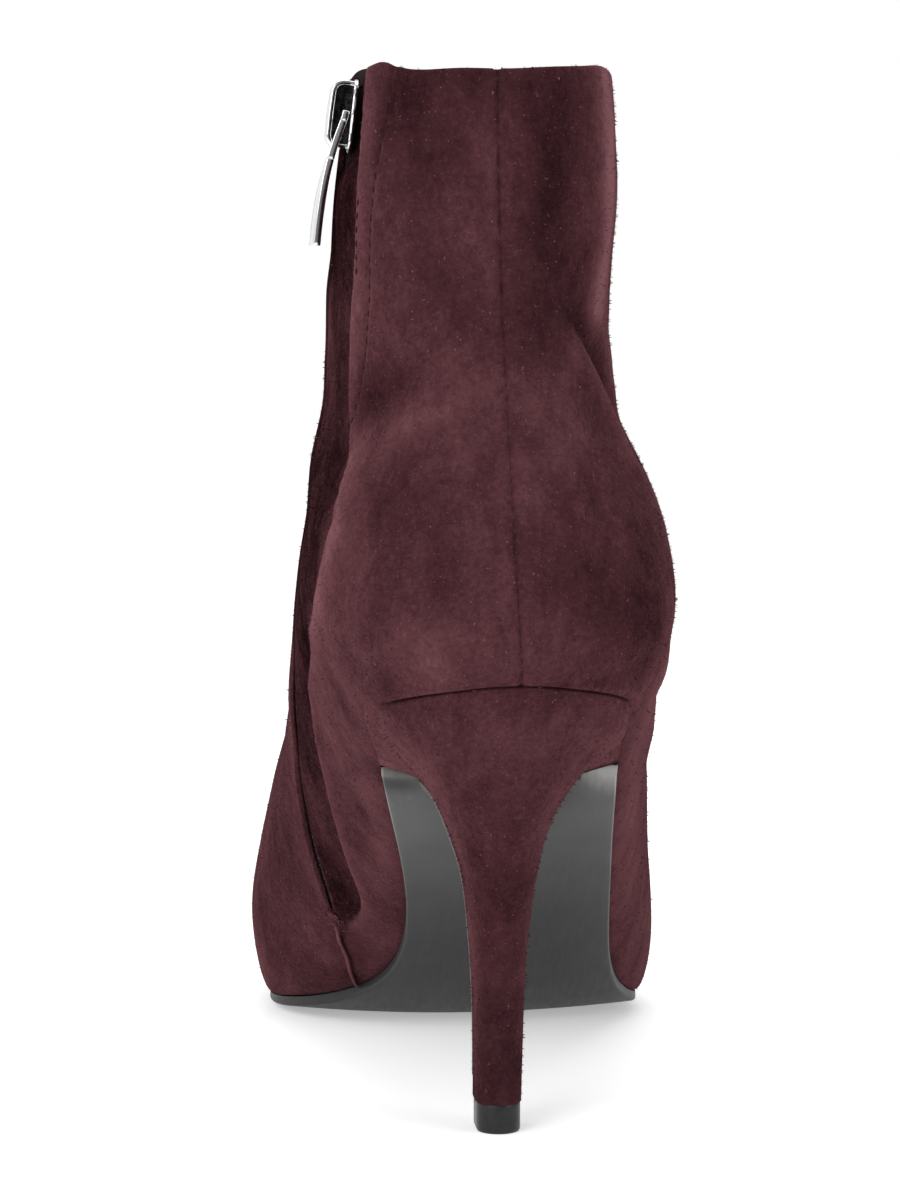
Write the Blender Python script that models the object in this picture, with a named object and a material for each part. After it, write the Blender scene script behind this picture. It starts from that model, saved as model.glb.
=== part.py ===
"""Pointed-toe ankle boot for the right foot, with a slim high heel and a zip on the inner side.

Lengths are in millimetres, and become metres as each mesh is made. +Y runs to the toe, +X to the outer
side of the foot and +Z up. The origin is on the floor, at the centre of the heel's top piece.
"""
import math

import bmesh
import bpy
import numpy as np

# Driving sizes
MM = 0.001
WALL = 2.0
GAP = 0.3
HEEL_TIP_Y = 25.0  # from the counter's rear line to the middle of the heel tip
HEEL_ROUND = 14.0  # length of the round end of the heel seat, along the sections
HEEL_FRONT = 31.0  # length of the heel seat, along the sections
SPREAD_LONG = 40.0  # how far past the heel seat's round the wall's columns come to be evenly spread
SEAT_ROLL = 26.0  # how far past the heel's back the wall comes to roll flat under to the sole edge
INSOLE_THICK = 2.2
INSOLE_INSET = 1.9
INSOLE_LEAST = 1.0  # half-width of the board's narrowest end
INSOLE_SHORT = 5.0  # how far the board ends before the toe's tip
SOLE_EDGE = 2.0
SOLE_CROWN = 2.1
SOLE_MARGIN = 0.1
SOLE_SHORT = 1.0  # how far the sole ends before the toe's end
FLAP_THICK = 1.5
FLAP_SHORT = 1.3  # how many of the heel's rings the flap stops above the last
TURN_ROOM = 9.0  # where the sole begins to turn down the heel, from the breast
TURN_CORNER = (1.0, 2.0)  # how far the turn's corner stands off the flap and under the sole
TOP_PIECE_TALL = 5.3
ZIP_END = 174.0  # how far the zip runs down, along the sections
ZIP_SLIT = 2.2
SLIT_OPEN = 11.5  # how far the slit stays open for the slider, along the sections
SLIT_NARROW = 18.5  # where it has come together
SLIT_CLOSING = 12.0  # how far before its end it begins to close
SLIDER_WIDE = 9.0
SLIDER_AT = 7.8  # the pull's pivot, along the sections
SLIDER_LEAN = math.radians(6.4)
CROWN_THICK = 0.9
CROWN_WIDE = 3.0
TAPE_HALF = 9.0
TAPE_THICK = 0.9
TAPE_START = 1.5  # below the collar
TAPE_PAST = 6.0  # beyond the zip's end
TAPE_SHARE = 0.5  # of the way to the sole edge, where the tape must be narrow
TAPE_ROOM = 0.75  # between the wall and the tape, which bend differently
PULL_LONG = 24.5
PULL_WIDE = 5.8
PULL_THICK = 1.1
PULL_LEAN = math.radians(11.9)

# Sections of the last. Each lies in the plane through X and the line from a back point to a front point:
# level rings at the collar, upright ones at the toe. Widths are to the inner (med) and outer (lat) side.
COLUMNS = ("back_y", "back_z", "front_y", "front_z", "centre_x", "ridge_x", "sole_med", "sole_lat",
           "wide_med", "wide_lat", "wide_at", "low_full", "top_full", "zip_at")
SECTIONS = (
    ("collar", 10.0, 193.0, 97.0, 196.5, -1.8, -1.0, 0.0, 0.0, 24.4, 23.6, 0.40, 2.7, 2.2, 0.450),
    ("shaft", 12.5, 170.0, 97.8, 175.0, -1.2, -1.0, 0.0, 0.0, 27.4, 24.7, 0.40, 2.6, 2.1, 0.450),
    ("ankle", 14.0, 146.0, 99.3, 155.5, -0.3, 0.0, 0.0, 0.0, 29.0, 22.7, 0.43, 2.4, 2.0, 0.475),
    ("hollow", 9.5, 124.0, 101.5, 145.0, 0.4, 0.0, 0.0, 0.0, 30.6, 24.1, 0.42, 2.3, 2.0, 0.525),
    ("counter", 1.5, 100.5, 104.2, 137.5, 1.0, 0.0, 0.0, 0.0, 34.6, 31.3, 0.41, 2.4, 2.0, 0.585),
    ("heel_back", 1.8, 84.0, 107.0, 131.0, 1.7, 0.5, 23.5, 23.5, 36.2, 33.2, 0.42, 2.4, 2.0, 0.610),
    ("seat_back", 6.2, 82.3, 108.0, 128.9, 1.8, 0.7, 23.5, 22.6, 36.5, 33.3, 0.42, 2.3, 2.0, 0.608),
    ("seat", 28.0, 75.3, 112.0, 121.8, 2.0, 1.0, 24.2, 21.7, 36.8, 33.0, 0.44, 1.7, 2.0, 0.540),
    ("breast", 48.0, 61.5, 117.0, 114.5, 2.6, 1.0, 21.8, 22.2, 37.3, 33.2, 0.46, 1.6, 2.0, 0.450),
    ("waist", 82.0, 36.5, 129.0, 99.0, 6.0, 1.5, 18.8, 22.4, 40.9, 34.6, 0.42, 1.6, 2.0, 0.265),
    ("joint", 116.0, 11.6, 147.0, 80.0, 5.0, 1.5, 22.8, 29.6, 43.6, 39.5, 0.36, 1.7, 1.95, 0.060),
    ("ball", 141.0, 3.9, 168.5, 61.5, 3.0, 0.5, 39.2, 39.4, 44.4, 43.6, 0.27, 1.8, 1.9, 0.060),
    ("toes", 175.0, 3.8, 190.0, 46.5, 0.0, -1.0, 33.5, 34.5, 36.4, 37.0, 0.27, 1.8, 1.9, 0.060),
    ("point", 210.0, 6.6, 213.5, 31.5, -4.0, -4.0, 19.5, 19.5, 21.0, 21.0, 0.30, 1.8, 1.9, 0.060),
    ("tip", 230.0, 9.0, 230.7, 20.0, -6.5, -6.5, 6.8, 6.8, 7.2, 7.2, 0.35, 2.0, 2.0, 0.060),
    ("end", 236.0, 9.9, 236.2, 14.5, -7.0, -7.0, 1.6, 1.6, 1.8, 1.8, 0.40, 2.0, 2.0, 0.060),
)

# Rings of the heel below the seat, from the back line to the breast.
HEEL_COLUMNS = ("back_y", "back_z", "front_y", "front_z", "centre_x", "wide", "front_wide")
HEEL_RINGS = (
    ("cup", 2.5, 80.3, 41.6, 63.0, 1.3, 20.9, 14.6),
    ("flare", 3.4, 75.6, 39.4, 60.5, 0.4, 16.9, 11.6),
    ("throat", 5.2, 69.5, 37.2, 56.8, 0.0, 12.8, 9.4),
    ("neck", 7.8, 62.2, 35.0, 52.0, -0.1, 9.4, 7.6),
    ("stem", 11.0, 53.5, 33.0, 46.2, 0.1, 7.1, 6.2),
    ("middle", 14.3, 43.5, 31.3, 39.2, 0.1, 5.75, 5.4),
    ("slim", 17.1, 31.5, 30.2, 29.6, 0.1, 4.8, 4.7),
    ("low", 19.2, 18.0, 29.7, 17.7, 0.1, 4.4, 4.35),
    ("foot", 20.4, TOP_PIECE_TALL + GAP, 29.6, TOP_PIECE_TALL + GAP, 0.0, 4.25, 4.25),
)

# How finely each piece is divided
SHARP = math.radians(40)
SAME_PLACE = 0.01  # points closer than this are one
NO_LENGTH = 0.001  # an edge shorter than this is taken out
SHAFT_ROWS = 18
SEAT_ROWS = 7
FOOT_ROWS = 22
REAR_STEPS = 6
FRONT_STEPS = 11
OUTER_STEPS = 18
LINE_STEPS = 40
HEEL_LEVELS = 20
ROUND_STEPS = 8
FLANK_STEPS = 4
SOLE_ACROSS = 9
SOLE_ROWS = 28
FLAP_STEPS = 14
TURN_STEPS = 4
TAPE_ACROSS = 7
PULL_ROWS = 15

# Colours are linear, then roughness and metallic
FINISHES = {
    "suede": ((0.075, 0.028, 0.034), 0.95, 0.0),
    "sole_leather": ((0.062, 0.061, 0.064), 0.55, 0.0),
    "tip_rubber": ((0.035, 0.036, 0.036), 0.6, 0.0),
    "zip_cloth": ((0.022, 0.012, 0.014), 0.9, 0.0),
    "chrome": ((0.72, 0.72, 0.73), 0.16, 1.0),
    "lining": ((0.060, 0.052, 0.050), 0.7, 0.0),
}


def column(name, rows=SECTIONS, names=COLUMNS):
    """One column of a table of named rows."""
    return np.array([row[1 + names.index(name)] for row in rows])


def spline(knots, values, at):
    """Natural cubic spline through values at knots, read at one place or several."""
    at = np.asarray(at, float)
    step = np.diff(knots)
    count = len(knots)
    matrix = np.eye(count)
    right = np.zeros(count)
    for i in range(1, count - 1):
        matrix[i, i - 1:i + 2] = step[i - 1], 2 * (step[i - 1] + step[i]), step[i]
        right[i] = 6 * ((values[i + 1] - values[i]) / step[i] - (values[i] - values[i - 1]) / step[i - 1])
    bend = np.linalg.solve(matrix, right)
    i = np.clip(np.searchsorted(knots, at) - 1, 0, count - 2)
    low = at - knots[i]
    high = knots[i + 1] - at
    curve = (bend[i] * high ** 3 + bend[i + 1] * low ** 3) / (6 * step[i])
    start = (values[i] / step[i] - bend[i] * step[i] / 6) * high
    finish = (values[i + 1] / step[i] - bend[i + 1] * step[i] / 6) * low
    return curve + start + finish


def smooth(share):
    """A share from 0 to 1 that sets off and ends gently."""
    share = np.clip(share, 0, 1)
    return float(share * share * (3 - 2 * share))


def section_stations():
    """Distance of each section from the collar: the mean of its steps along the back and the front."""
    back = np.stack([column("back_y"), column("back_z")], 1)
    front = np.stack([column("front_y"), column("front_z")], 1)
    steps = np.linalg.norm(np.diff(back, axis=0), axis=1) + np.linalg.norm(np.diff(front, axis=0), axis=1)
    return np.concatenate([[0.0], np.cumsum(steps / 2)])


KNOTS = section_stations()
STATION = {row[0]: knot for row, knot in zip(SECTIONS, KNOTS)}
HEEL_BACK = STATION["heel_back"]
HEEL_BREAST = HEEL_BACK + HEEL_FRONT


def seat_opening(station):
    """How far the sole edge has opened at a station: 0 on the shaft, 1 past the round of the heel seat."""
    along = np.clip((station - HEEL_BACK) / HEEL_ROUND, 0, 1)
    return float(np.sqrt(1 - (1 - along) ** 2))


def sole_half(station, side):
    """Half-width of the sole edge at a station: nothing on the shaft, round at the heel seat."""
    first = [row[0] for row in SECTIONS].index("heel_back")
    values = column("sole_" + side)[first:]
    half = spline(KNOTS[first:], values, max(station, HEEL_BACK))
    return float(half * seat_opening(station))


def section(station):
    """All sizes of the last's section at a station."""
    sizes = {name: float(spline(KNOTS, column(name), station)) for name in COLUMNS}
    sizes["back_y"] -= HEEL_TIP_Y
    sizes["front_y"] -= HEEL_TIP_Y
    sizes["roll"] = smooth((station - HEEL_BACK) / SEAT_ROLL)
    sizes["sole_med"] = sole_half(station, "med")
    sizes["sole_lat"] = sole_half(station, "lat")
    return sizes


def quarter(fullness, start=0.0):
    """A superellipse quarter from (0, 0), setting off across, to (1, 1), upright there, cut short at start."""
    turn = np.linspace(math.asin(start ** (fullness / 2)), math.pi / 2, LINE_STEPS)
    return np.sin(turn) ** (2 / fullness), 1 - np.cos(turn) ** (2 / fullness)


def low_line(sizes, side):
    """The lower part of a section's side, from the sole edge to the widest place, as half-widths and shares.

    Round the heel seat it is the part of a whole section that lies outside the sole edge, and further on it
    rolls flat under to that edge.
    """
    sole = sizes["sole_" + side]
    wide = sizes["wide_" + side]
    across, up = quarter(sizes["low_full"])
    rolled = np.stack([sole + (wide - sole) * across, up], 1)
    across, up = quarter(sizes["low_full"], sole / wide)
    upright = np.stack([wide * across, (up - up[0]) / (1 - up[0])], 1)
    return (upright + (rolled - upright) * sizes["roll"]) * (1, sizes["wide_at"])


def side_line(sizes, side):
    """Points of one side of a section from its lower end to the ridge, with their share of the way up."""
    across, up = quarter(sizes["top_full"])
    top = np.stack([sizes["wide_" + side] * across, 1 - (1 - sizes["wide_at"]) * up], 1)[::-1]
    half, share = np.concatenate([low_line(sizes, side), top[1:]]).T
    sign = -1 if side == "med" else 1
    x = sign * half + sizes["centre_x"] + (sizes["ridge_x"] - sizes["centre_x"]) * share
    y = sizes["back_y"] + (sizes["front_y"] - sizes["back_y"]) * share
    z = sizes["back_z"] + (sizes["front_z"] - sizes["back_z"]) * share
    return np.stack([x, y, z], 1), share


def lengths(points):
    """Distance along a line at each of its points."""
    return np.concatenate([[0.0], np.cumsum(np.linalg.norm(np.diff(points, axis=0), axis=1))])


def walk(points, places):
    """Points at given distances along a line."""
    run = lengths(points)
    return np.stack([np.interp(places, run, points[:, axis]) for axis in range(3)], 1)


def slit_width(station):
    """Width of the zip's slit: open for the slider at the collar, narrow below, closed at its end."""
    slider_slit = SLIDER_WIDE + 2 * GAP
    places = (0.0, SLIT_OPEN, SLIT_NARROW, ZIP_END - SLIT_CLOSING, ZIP_END)
    return float(np.interp(station, places, (slider_slit, slider_slit, ZIP_SLIT, ZIP_SLIT, 0.0)))


def zip_place(station):
    """The inner side's line at a station, and the zip's distance along it."""
    sizes = section(station)
    points, share = side_line(sizes, "med")
    run = lengths(points)
    on_zip = float(np.interp(sizes["zip_at"], share, run))
    even = run[-1] * REAR_STEPS / (REAR_STEPS + FRONT_STEPS)
    past = np.clip((station - ZIP_END) / (STATION["point"] - ZIP_END), 0, 1)
    return points, on_zip + (even - on_zip) * past


def even_places(station, side, far, steps):
    """Even distances along a section's side, measured from its middle, those inside the sole edge kept on it.

    So the wall's columns run straight down to the sole edge round the heel seat. Further on they spread out.
    """
    spread = smooth((station - HEEL_BACK - HEEL_ROUND) / SPREAD_LONG)
    inside = sole_half(station, side) * (1 - spread)
    return np.maximum(np.linspace(-inside, far, steps + 1), 0)


def upper_ring(station):
    """One ring of the upper, from its inner end over both edges of the zip and the ridge to the outer end."""
    points, place = zip_place(station)
    half_slit = slit_width(station) / 2
    rear = walk(points, even_places(station, "med", place - half_slit, REAR_STEPS))
    front = walk(points, np.linspace(place + half_slit, lengths(points)[-1], FRONT_STEPS + 1))
    outer, _ = side_line(section(station), "lat")
    outer = walk(outer, even_places(station, "lat", lengths(outer)[-1], OUTER_STEPS))[::-1]
    return np.concatenate([rear, front, outer[1:]])


def upper_stations():
    """Stations of the upper's rings, closer together round the heel seat."""
    shaft = np.linspace(0, HEEL_BACK, SHAFT_ROWS)
    turn = np.linspace(0, math.pi / 2, SEAT_ROWS + 1)[1:]
    seat = HEEL_BACK + HEEL_ROUND * (1 - np.cos(turn))
    foot = np.linspace(seat[-1], KNOTS[-1], FOOT_ROWS + 1)[1:]
    return np.concatenate([shaft, seat, foot])


def normals(grid):
    """Unit normals of a grid of points, pointing out of the boot."""
    along = np.gradient(grid, axis=0)
    across = np.gradient(grid, axis=1)
    normal = np.cross(across, along)
    size = np.linalg.norm(normal, axis=2, keepdims=True)
    return normal / np.maximum(size, SAME_PLACE ** 2)


def upper_normals(grid, stations):
    """Normals of the upper's grid, taken apart at the zip and joined where two edges meet."""
    edge = REAR_STEPS
    out = np.concatenate([normals(grid[:, :edge + 1]), normals(grid[:, edge + 1:])], axis=1)
    for row, station in enumerate(stations):
        pairs = [(0, -1)] if station <= HEEL_BACK else []
        pairs += [(edge, edge + 1)] if station >= ZIP_END else []
        for first, second in pairs:
            mean = out[row, first] + out[row, second]
            out[row, first] = out[row, second] = mean / np.linalg.norm(mean)
        for ring, normal in ((grid[row], out[row]), (grid[row, ::-1], out[row, ::-1])):
            gathered = int(np.sum(np.linalg.norm(ring[:edge] - ring[0], axis=1) < SAME_PLACE))
            normal[:gathered] = normal[gathered - 1]
    return out


def grid_faces(rows, columns, start=0, skip=None, turned=False):
    """Quads of a grid of points numbered row by row, less those of the column that skip leaves out."""
    faces = []
    for row in range(rows - 1):
        for col in range(columns - 1):
            if skip is not None and skip(row, col):
                continue
            a = start + row * columns + col
            face = (a, a + 1, a + columns + 1, a + columns)
            faces.append(face[::-1] if turned else face)
    return faces


def add_piece(name, points, faces, finish, place=(0.0, 0.0, 0.0), turn=0.0):
    """Makes one closed mesh object from points in millimetres, standing at place and turned about Y."""
    mesh = bpy.data.meshes.new(name)
    mesh.from_pydata((np.asarray(points) * MM).tolist(), [], faces)
    shape = bmesh.new()
    shape.from_mesh(mesh)
    bmesh.ops.remove_doubles(shape, verts=shape.verts, dist=SAME_PLACE * MM)
    bmesh.ops.dissolve_degenerate(shape, edges=shape.edges, dist=NO_LENGTH * MM)
    bmesh.ops.triangulate(shape, faces=[f for f in shape.faces if len(f.verts) > 3])
    bmesh.ops.recalc_face_normals(shape, faces=shape.faces)
    shape.to_mesh(mesh)
    shape.free()
    mesh.shade_smooth()
    mesh.set_sharp_from_angle(angle=SHARP)
    piece = bpy.data.objects.new(name, mesh)
    piece.location = [MM * value for value in place]
    piece.rotation_euler = (0, turn, 0)
    bpy.context.scene.collection.objects.link(piece)
    paint(piece, finish)
    return piece


def paint(piece, finish):
    """Gives a piece its own material of a named finish."""
    colour, roughness, metallic = FINISHES[finish]
    material = bpy.data.materials.new(piece.name + "_" + finish)
    material.use_nodes = True
    shader = material.node_tree.nodes["Principled BSDF"]
    shader.inputs["Base Color"].default_value = (*colour, 1)
    shader.inputs["Roughness"].default_value = roughness
    shader.inputs["Metallic"].default_value = metallic
    piece.data.materials.append(material)


def make_upper():
    """The suede upper: one wall round the last, open at the collar, along the zip and underneath."""
    stations = upper_stations()
    outer = np.array([upper_ring(station) for station in stations])
    rows, columns, _ = outer.shape
    inner_rows = int(np.searchsorted(stations, STATION["tip"]))
    inner = (outer - WALL * upper_normals(outer, stations))[:inner_rows]
    points = np.concatenate([outer.reshape(-1, 3), inner.reshape(-1, 3)])
    inside = rows * columns
    slit_rows = int(np.searchsorted(stations, ZIP_END))
    edge = REAR_STEPS

    def in_slit(row, col):
        return col == edge

    faces = grid_faces(rows, columns, 0, in_slit)
    faces += grid_faces(inner_rows, columns, inside, in_slit, turned=True)
    last = columns - 1
    for row in range(inner_rows - 1):
        rims = [edge, edge + 1] if row < slit_rows else []
        rims += [0, last] if stations[row] >= HEEL_BACK else []
        for col in rims:
            a = row * columns + col
            b = a + columns
            faces.append((a, b, inside + b, inside + a))
    for col in range(last):
        if col != edge:
            faces.append((col, col + 1, inside + col + 1, inside + col))
    end = (inner_rows - 1) * columns
    faces.append([inside + end + col for col in range(columns) if col != edge])
    faces.append([(rows - 1) * columns + col for col in range(columns) if col != edge])
    faces.append((end, inside + end, inside + end + last, end + last))
    for row in range(inner_rows - 1, rows - 1):
        a = row * columns
        faces.append((a, a + columns, a + columns + last, a + last))
    add_piece("upper", points, faces, "suede")


def bottom_line(station):
    """The last's bottom line at a station: its point and its downward normal, in the Y-Z plane."""
    reach = 0.5
    ahead = section(station + reach)
    behind = section(station - reach)
    here = section(station)
    y_step = ahead["back_y"] - behind["back_y"]
    z_step = ahead["back_z"] - behind["back_z"]
    size = math.hypot(y_step, z_step)
    return here, np.array([here["back_y"], here["back_z"]]), np.array([z_step, -y_step]) / size


def strip_solid(name, top, bottom, finish):
    """A closed solid between two grids of points with the same rows and columns."""
    rows, columns, _ = top.shape
    count = rows * columns
    faces = grid_faces(rows, columns) + grid_faces(rows, columns, count, turned=True)
    for row in range(rows - 1):
        for col in (0, columns - 1):
            a = row * columns + col
            faces.append((a, a + columns, count + a + columns, count + a))
    for col in range(columns - 1):
        for row in (0, rows - 1):
            a = row * columns + col
            faces.append((a, a + 1, count + a + 1, count + a))
    points = np.concatenate([top.reshape(-1, 3), bottom.reshape(-1, 3)])
    return add_piece(name, points, faces, finish)


def make_insole():
    """The insole board, which fills the upper's open underside from the heel seat to the toe."""
    shift = 3.0
    points_across = 5
    last = STATION["tip"] - INSOLE_SHORT
    seat = HEEL_BACK + HEEL_FRONT * heel_shares()
    stations = np.concatenate([seat[seat > HEEL_BACK + shift], np.linspace(HEEL_BREAST, last, FOOT_ROWS)[1:]])
    top = []
    bottom = []
    for station in stations:
        here, centre, down = bottom_line(station)
        ends = []
        for side, sign in (("med", -1), ("lat", 1)):
            half = min(sole_half(station - shift, side), sole_half(station + shift, side))
            ends.append(here["centre_x"] + sign * max(half - INSOLE_INSET, INSOLE_LEAST))
        for grid, lift in ((bottom, 0.0), (top, INSOLE_THICK)):
            y, z = centre - lift * down
            grid.append([(x, y, z) for x in np.linspace(*ends, points_across)])
    strip_solid("insole", np.array(top), np.array(bottom), "lining")


def heel_shares():
    """Shares of the way from the heel's back to its breast, closer together round the back."""
    round_share = HEEL_ROUND / HEEL_FRONT
    turn = np.linspace(0, math.pi / 2, ROUND_STEPS + 1)
    flank = np.linspace(round_share, 1, FLANK_STEPS + 1)[1:]
    return np.concatenate([round_share * (1 - np.cos(turn)), flank])


def heel_half(wide, front_wide, share):
    """Half-width of a heel ring: an elliptic back, then flanks that run in to the breast."""
    round_share = HEEL_ROUND / HEEL_FRONT
    if share <= round_share:
        return wide * math.sqrt(1 - (1 - share / round_share) ** 2)
    past = (share - round_share) / (1 - round_share)
    return wide + (front_wide - wide) * past * past * (3 - 2 * past)


def heel_sizes(level):
    """Sizes of a heel ring, where level 0 is the cup under the seat and the last is on the top piece."""
    knots = np.arange(len(HEEL_RINGS), dtype=float)
    return {name: float(spline(knots, column(name, HEEL_RINGS, HEEL_COLUMNS), level))
            for name in HEEL_COLUMNS}


def heel_ring(level):
    """Left and right points of one heel ring from back to breast."""
    sizes = heel_sizes(level)
    sides = ([], [])
    for share in heel_shares():
        half = heel_half(sizes["wide"], sizes["front_wide"], share)
        y = sizes["back_y"] + (sizes["front_y"] - sizes["back_y"]) * share - HEEL_TIP_Y
        z = sizes["back_z"] + (sizes["front_z"] - sizes["back_z"]) * share
        for points, sign in zip(sides, (-1, 1)):
            points.append((sizes["centre_x"] + sign * half, y, z))
    return sides


def seat_ring():
    """Left and right points of the heel's top, which follows the sole edge just under the upper."""
    sides = ([], [])
    for share in heel_shares():
        here, centre, down = bottom_line(HEEL_BACK + share * HEEL_FRONT)
        y, z = centre + GAP * down
        sides[0].append((here["centre_x"] - max(here["sole_med"] - GAP, 0), y, z))
        sides[1].append((here["centre_x"] + max(here["sole_lat"] - GAP, 0), y, z))
    return sides


def ring_solid(name, rings, finish):
    """A closed solid through rings of left and right points, each with strips across at both ends."""
    left = np.array([ring[0] for ring in rings])
    right = np.array([ring[1] for ring in rings])
    levels, count, _ = left.shape
    half = levels * count
    faces = grid_faces(levels, count) + grid_faces(levels, count, half, turned=True)
    for base in (0, (levels - 1) * count):
        faces += [(base + i, base + i + 1, half + base + i + 1, half + base + i) for i in range(count - 1)]
    for level in range(levels - 1):
        a = level * count + count - 1
        faces.append((a, a + count, half + a + count, half + a))
    return add_piece(name, np.concatenate([left.reshape(-1, 3), right.reshape(-1, 3)]), faces, finish)


def make_heel():
    """The suede-covered stiletto heel and the hard piece that it stands on."""
    levels = np.linspace(0, len(HEEL_RINGS) - 1, HEEL_LEVELS)
    ring_solid("heel", [seat_ring()] + [heel_ring(level) for level in levels], "suede")
    foot = heel_ring(len(HEEL_RINGS) - 1)
    heights = (TOP_PIECE_TALL, 0.0)
    rings = [[[(x, y, height) for x, y, _ in side] for side in foot] for height in heights]
    ring_solid("top_piece", rings, "tip_rubber")


def breast_line():
    """The heel's breast from the seat down: points in the Y-Z plane, half-widths and centres."""
    seat = seat_ring()
    left, right = np.array(seat[0][-1]), np.array(seat[1][-1])
    places = [left[1:]]
    halves = [(right[0] - left[0]) / 2]
    centres = [(right[0] + left[0]) / 2]
    for level in np.linspace(0, len(HEEL_RINGS) - FLAP_SHORT, FLAP_STEPS):
        sizes = heel_sizes(level)
        places.append(np.array([sizes["front_y"] - HEEL_TIP_Y, sizes["front_z"]]))
        halves.append(sizes["front_wide"])
        centres.append(sizes["centre_x"])
    return np.array(places), np.array(halves), np.array(centres)


def offset_line(line, distance):
    """A line in the Y-Z plane moved to its left by a distance."""
    step = np.gradient(line, axis=0)
    side = np.stack([-step[:, 1], step[:, 0]], 1)
    return line + distance * side / np.linalg.norm(side, axis=1, keepdims=True)


def make_outsole():
    """The thin outsole: crowned under the forefoot, arched at the waist and turned down the heel's breast."""
    stations = np.linspace(KNOTS[-1] - SOLE_SHORT, HEEL_BREAST + TURN_ROOM, SOLE_ROWS)
    across = np.linspace(-1, 1, SOLE_ACROSS)
    top = []
    bottom = []
    for station in stations:
        here, centre, down = bottom_line(station)
        edges = np.where(across < 0, here["sole_med"], here["sole_lat"]) + SOLE_MARGIN
        crown = SOLE_CROWN * min(1.0, (edges[0] + edges[-1]) / (2 * column("sole_med").max()))
        x = here["centre_x"] + across * edges
        thick = SOLE_EDGE + crown * (1 - across ** 2)
        y, z = centre + GAP * down
        top.append(np.stack([x, np.full_like(x, y), np.full_like(x, z)], 1))
        low_y = y + thick * down[0]
        low_z = np.maximum(z + thick * down[1], 0.0)
        bottom.append(np.stack([x, low_y, low_z], 1))
    turn_top, turn_bottom = breast_turn(np.array(top[-1]), np.array(bottom[-1]), across)
    strip_solid("outsole", np.array(top + turn_top), np.array(bottom + turn_bottom), "sole_leather")


def breast_turn(last_top, last_bottom, across):
    """Rows that take the outsole from the waist round a hollow turn and down the heel's breast."""
    places, halves, centres = breast_line()
    inner = offset_line(places, GAP)
    outer = offset_line(places, GAP + FLAP_THICK)
    corner = bottom_line(HEEL_BREAST)
    inner[0] = corner[1] + GAP * corner[2] + (GAP, 0)
    middle = len(across) // 2
    start = last_bottom[middle, 1:]
    off_flap, under_sole = TURN_CORNER
    control = corner[1] + (SOLE_EDGE + under_sole) * corner[2] + (FLAP_THICK + off_flap, 0)
    top = []
    bottom = []
    for index in range(1, len(places)):
        share = min(index / TURN_STEPS, 1.0)
        curve = (1 - share) ** 2 * start + 2 * share * (1 - share) * control + share ** 2 * outer[TURN_STEPS]
        low = curve if index < TURN_STEPS else outer[index]
        high = inner[index]
        if index == 1:
            edge_x = centres[0] + across * halves[0]
            top.append(row_at(edge_x, inner[0]))
            bottom.append(row_at(edge_x, start + (curve - start) / TURN_STEPS))
        x = centres[index] + across * halves[index]
        top.append(row_at(x, high))
        bottom.append(row_at(x, low))
    return top, bottom


def row_at(x, place):
    """Points at several x, all at one place in the Y-Z plane."""
    return np.stack([x, np.full_like(x, place[0]), np.full_like(x, place[1])], 1)


def make_zip_tape():
    """The zip's cloth tape, which closes the slit from behind."""
    stations = upper_stations()
    stations = stations[stations <= ZIP_END + TAPE_PAST]
    stations[0] = TAPE_START
    spread = np.linspace(-1, 1, TAPE_ACROSS)
    rows = []
    for station in stations:
        points, place = zip_place(station)
        reach = np.where(spread < 0, min(TAPE_HALF, TAPE_SHARE * place), TAPE_HALF)
        rows.append(walk(points, place + spread * reach))
    grid = np.array(rows)
    out = normals(grid)
    front = grid - (WALL + TAPE_ROOM) * out
    back = front - TAPE_THICK * out
    strip_solid("zip_tape", front, back, "zip_cloth")


def pivot_place():
    """The pull's pivot, just below the upper's outer face on the zip's line."""
    points, place = zip_place(SLIDER_AT)
    return walk(points, [place])[0] + (GAP, 0, 0)


def bar_points(line, thick, half_wide):
    """Rows of four corners along a flat bar that follows a line in the X-Z plane."""
    line = np.array(line)
    step = np.gradient(line, axis=0)
    side = np.stack([-step[:, 1], step[:, 0]], 1)
    side *= thick / 2 / np.linalg.norm(side, axis=1, keepdims=True)
    rows = []
    for here, out in zip(line, side):
        rows.append([(here[0] + s * out[0], w * half_wide, here[1] + s * out[1])
                     for s, w in ((-1, -1), (1, -1), (1, 1), (-1, 1))])
    return np.array(rows)


def loop_solid(name, rows, finish, place, turn):
    """A closed solid through rings of points, with a flat face at each end."""
    rows = np.array(rows)
    levels, count, _ = rows.shape
    closed = np.concatenate([rows, rows[:, :1]], 1)
    faces = grid_faces(levels, count + 1)
    faces.append(list(range(count)))
    faces.append([(levels - 1) * (count + 1) + i for i in range(count)])
    return add_piece(name, closed.reshape(-1, 3), faces, finish, place, turn)


def join(piece, other, operation):
    """Adds another solid to a piece, or cuts it away, and hides that solid."""
    other.hide_render = True
    other.display_type = "WIRE"
    change = piece.modifiers.new(other.name, "BOOLEAN")
    change.operation = operation
    change.object = other


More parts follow.
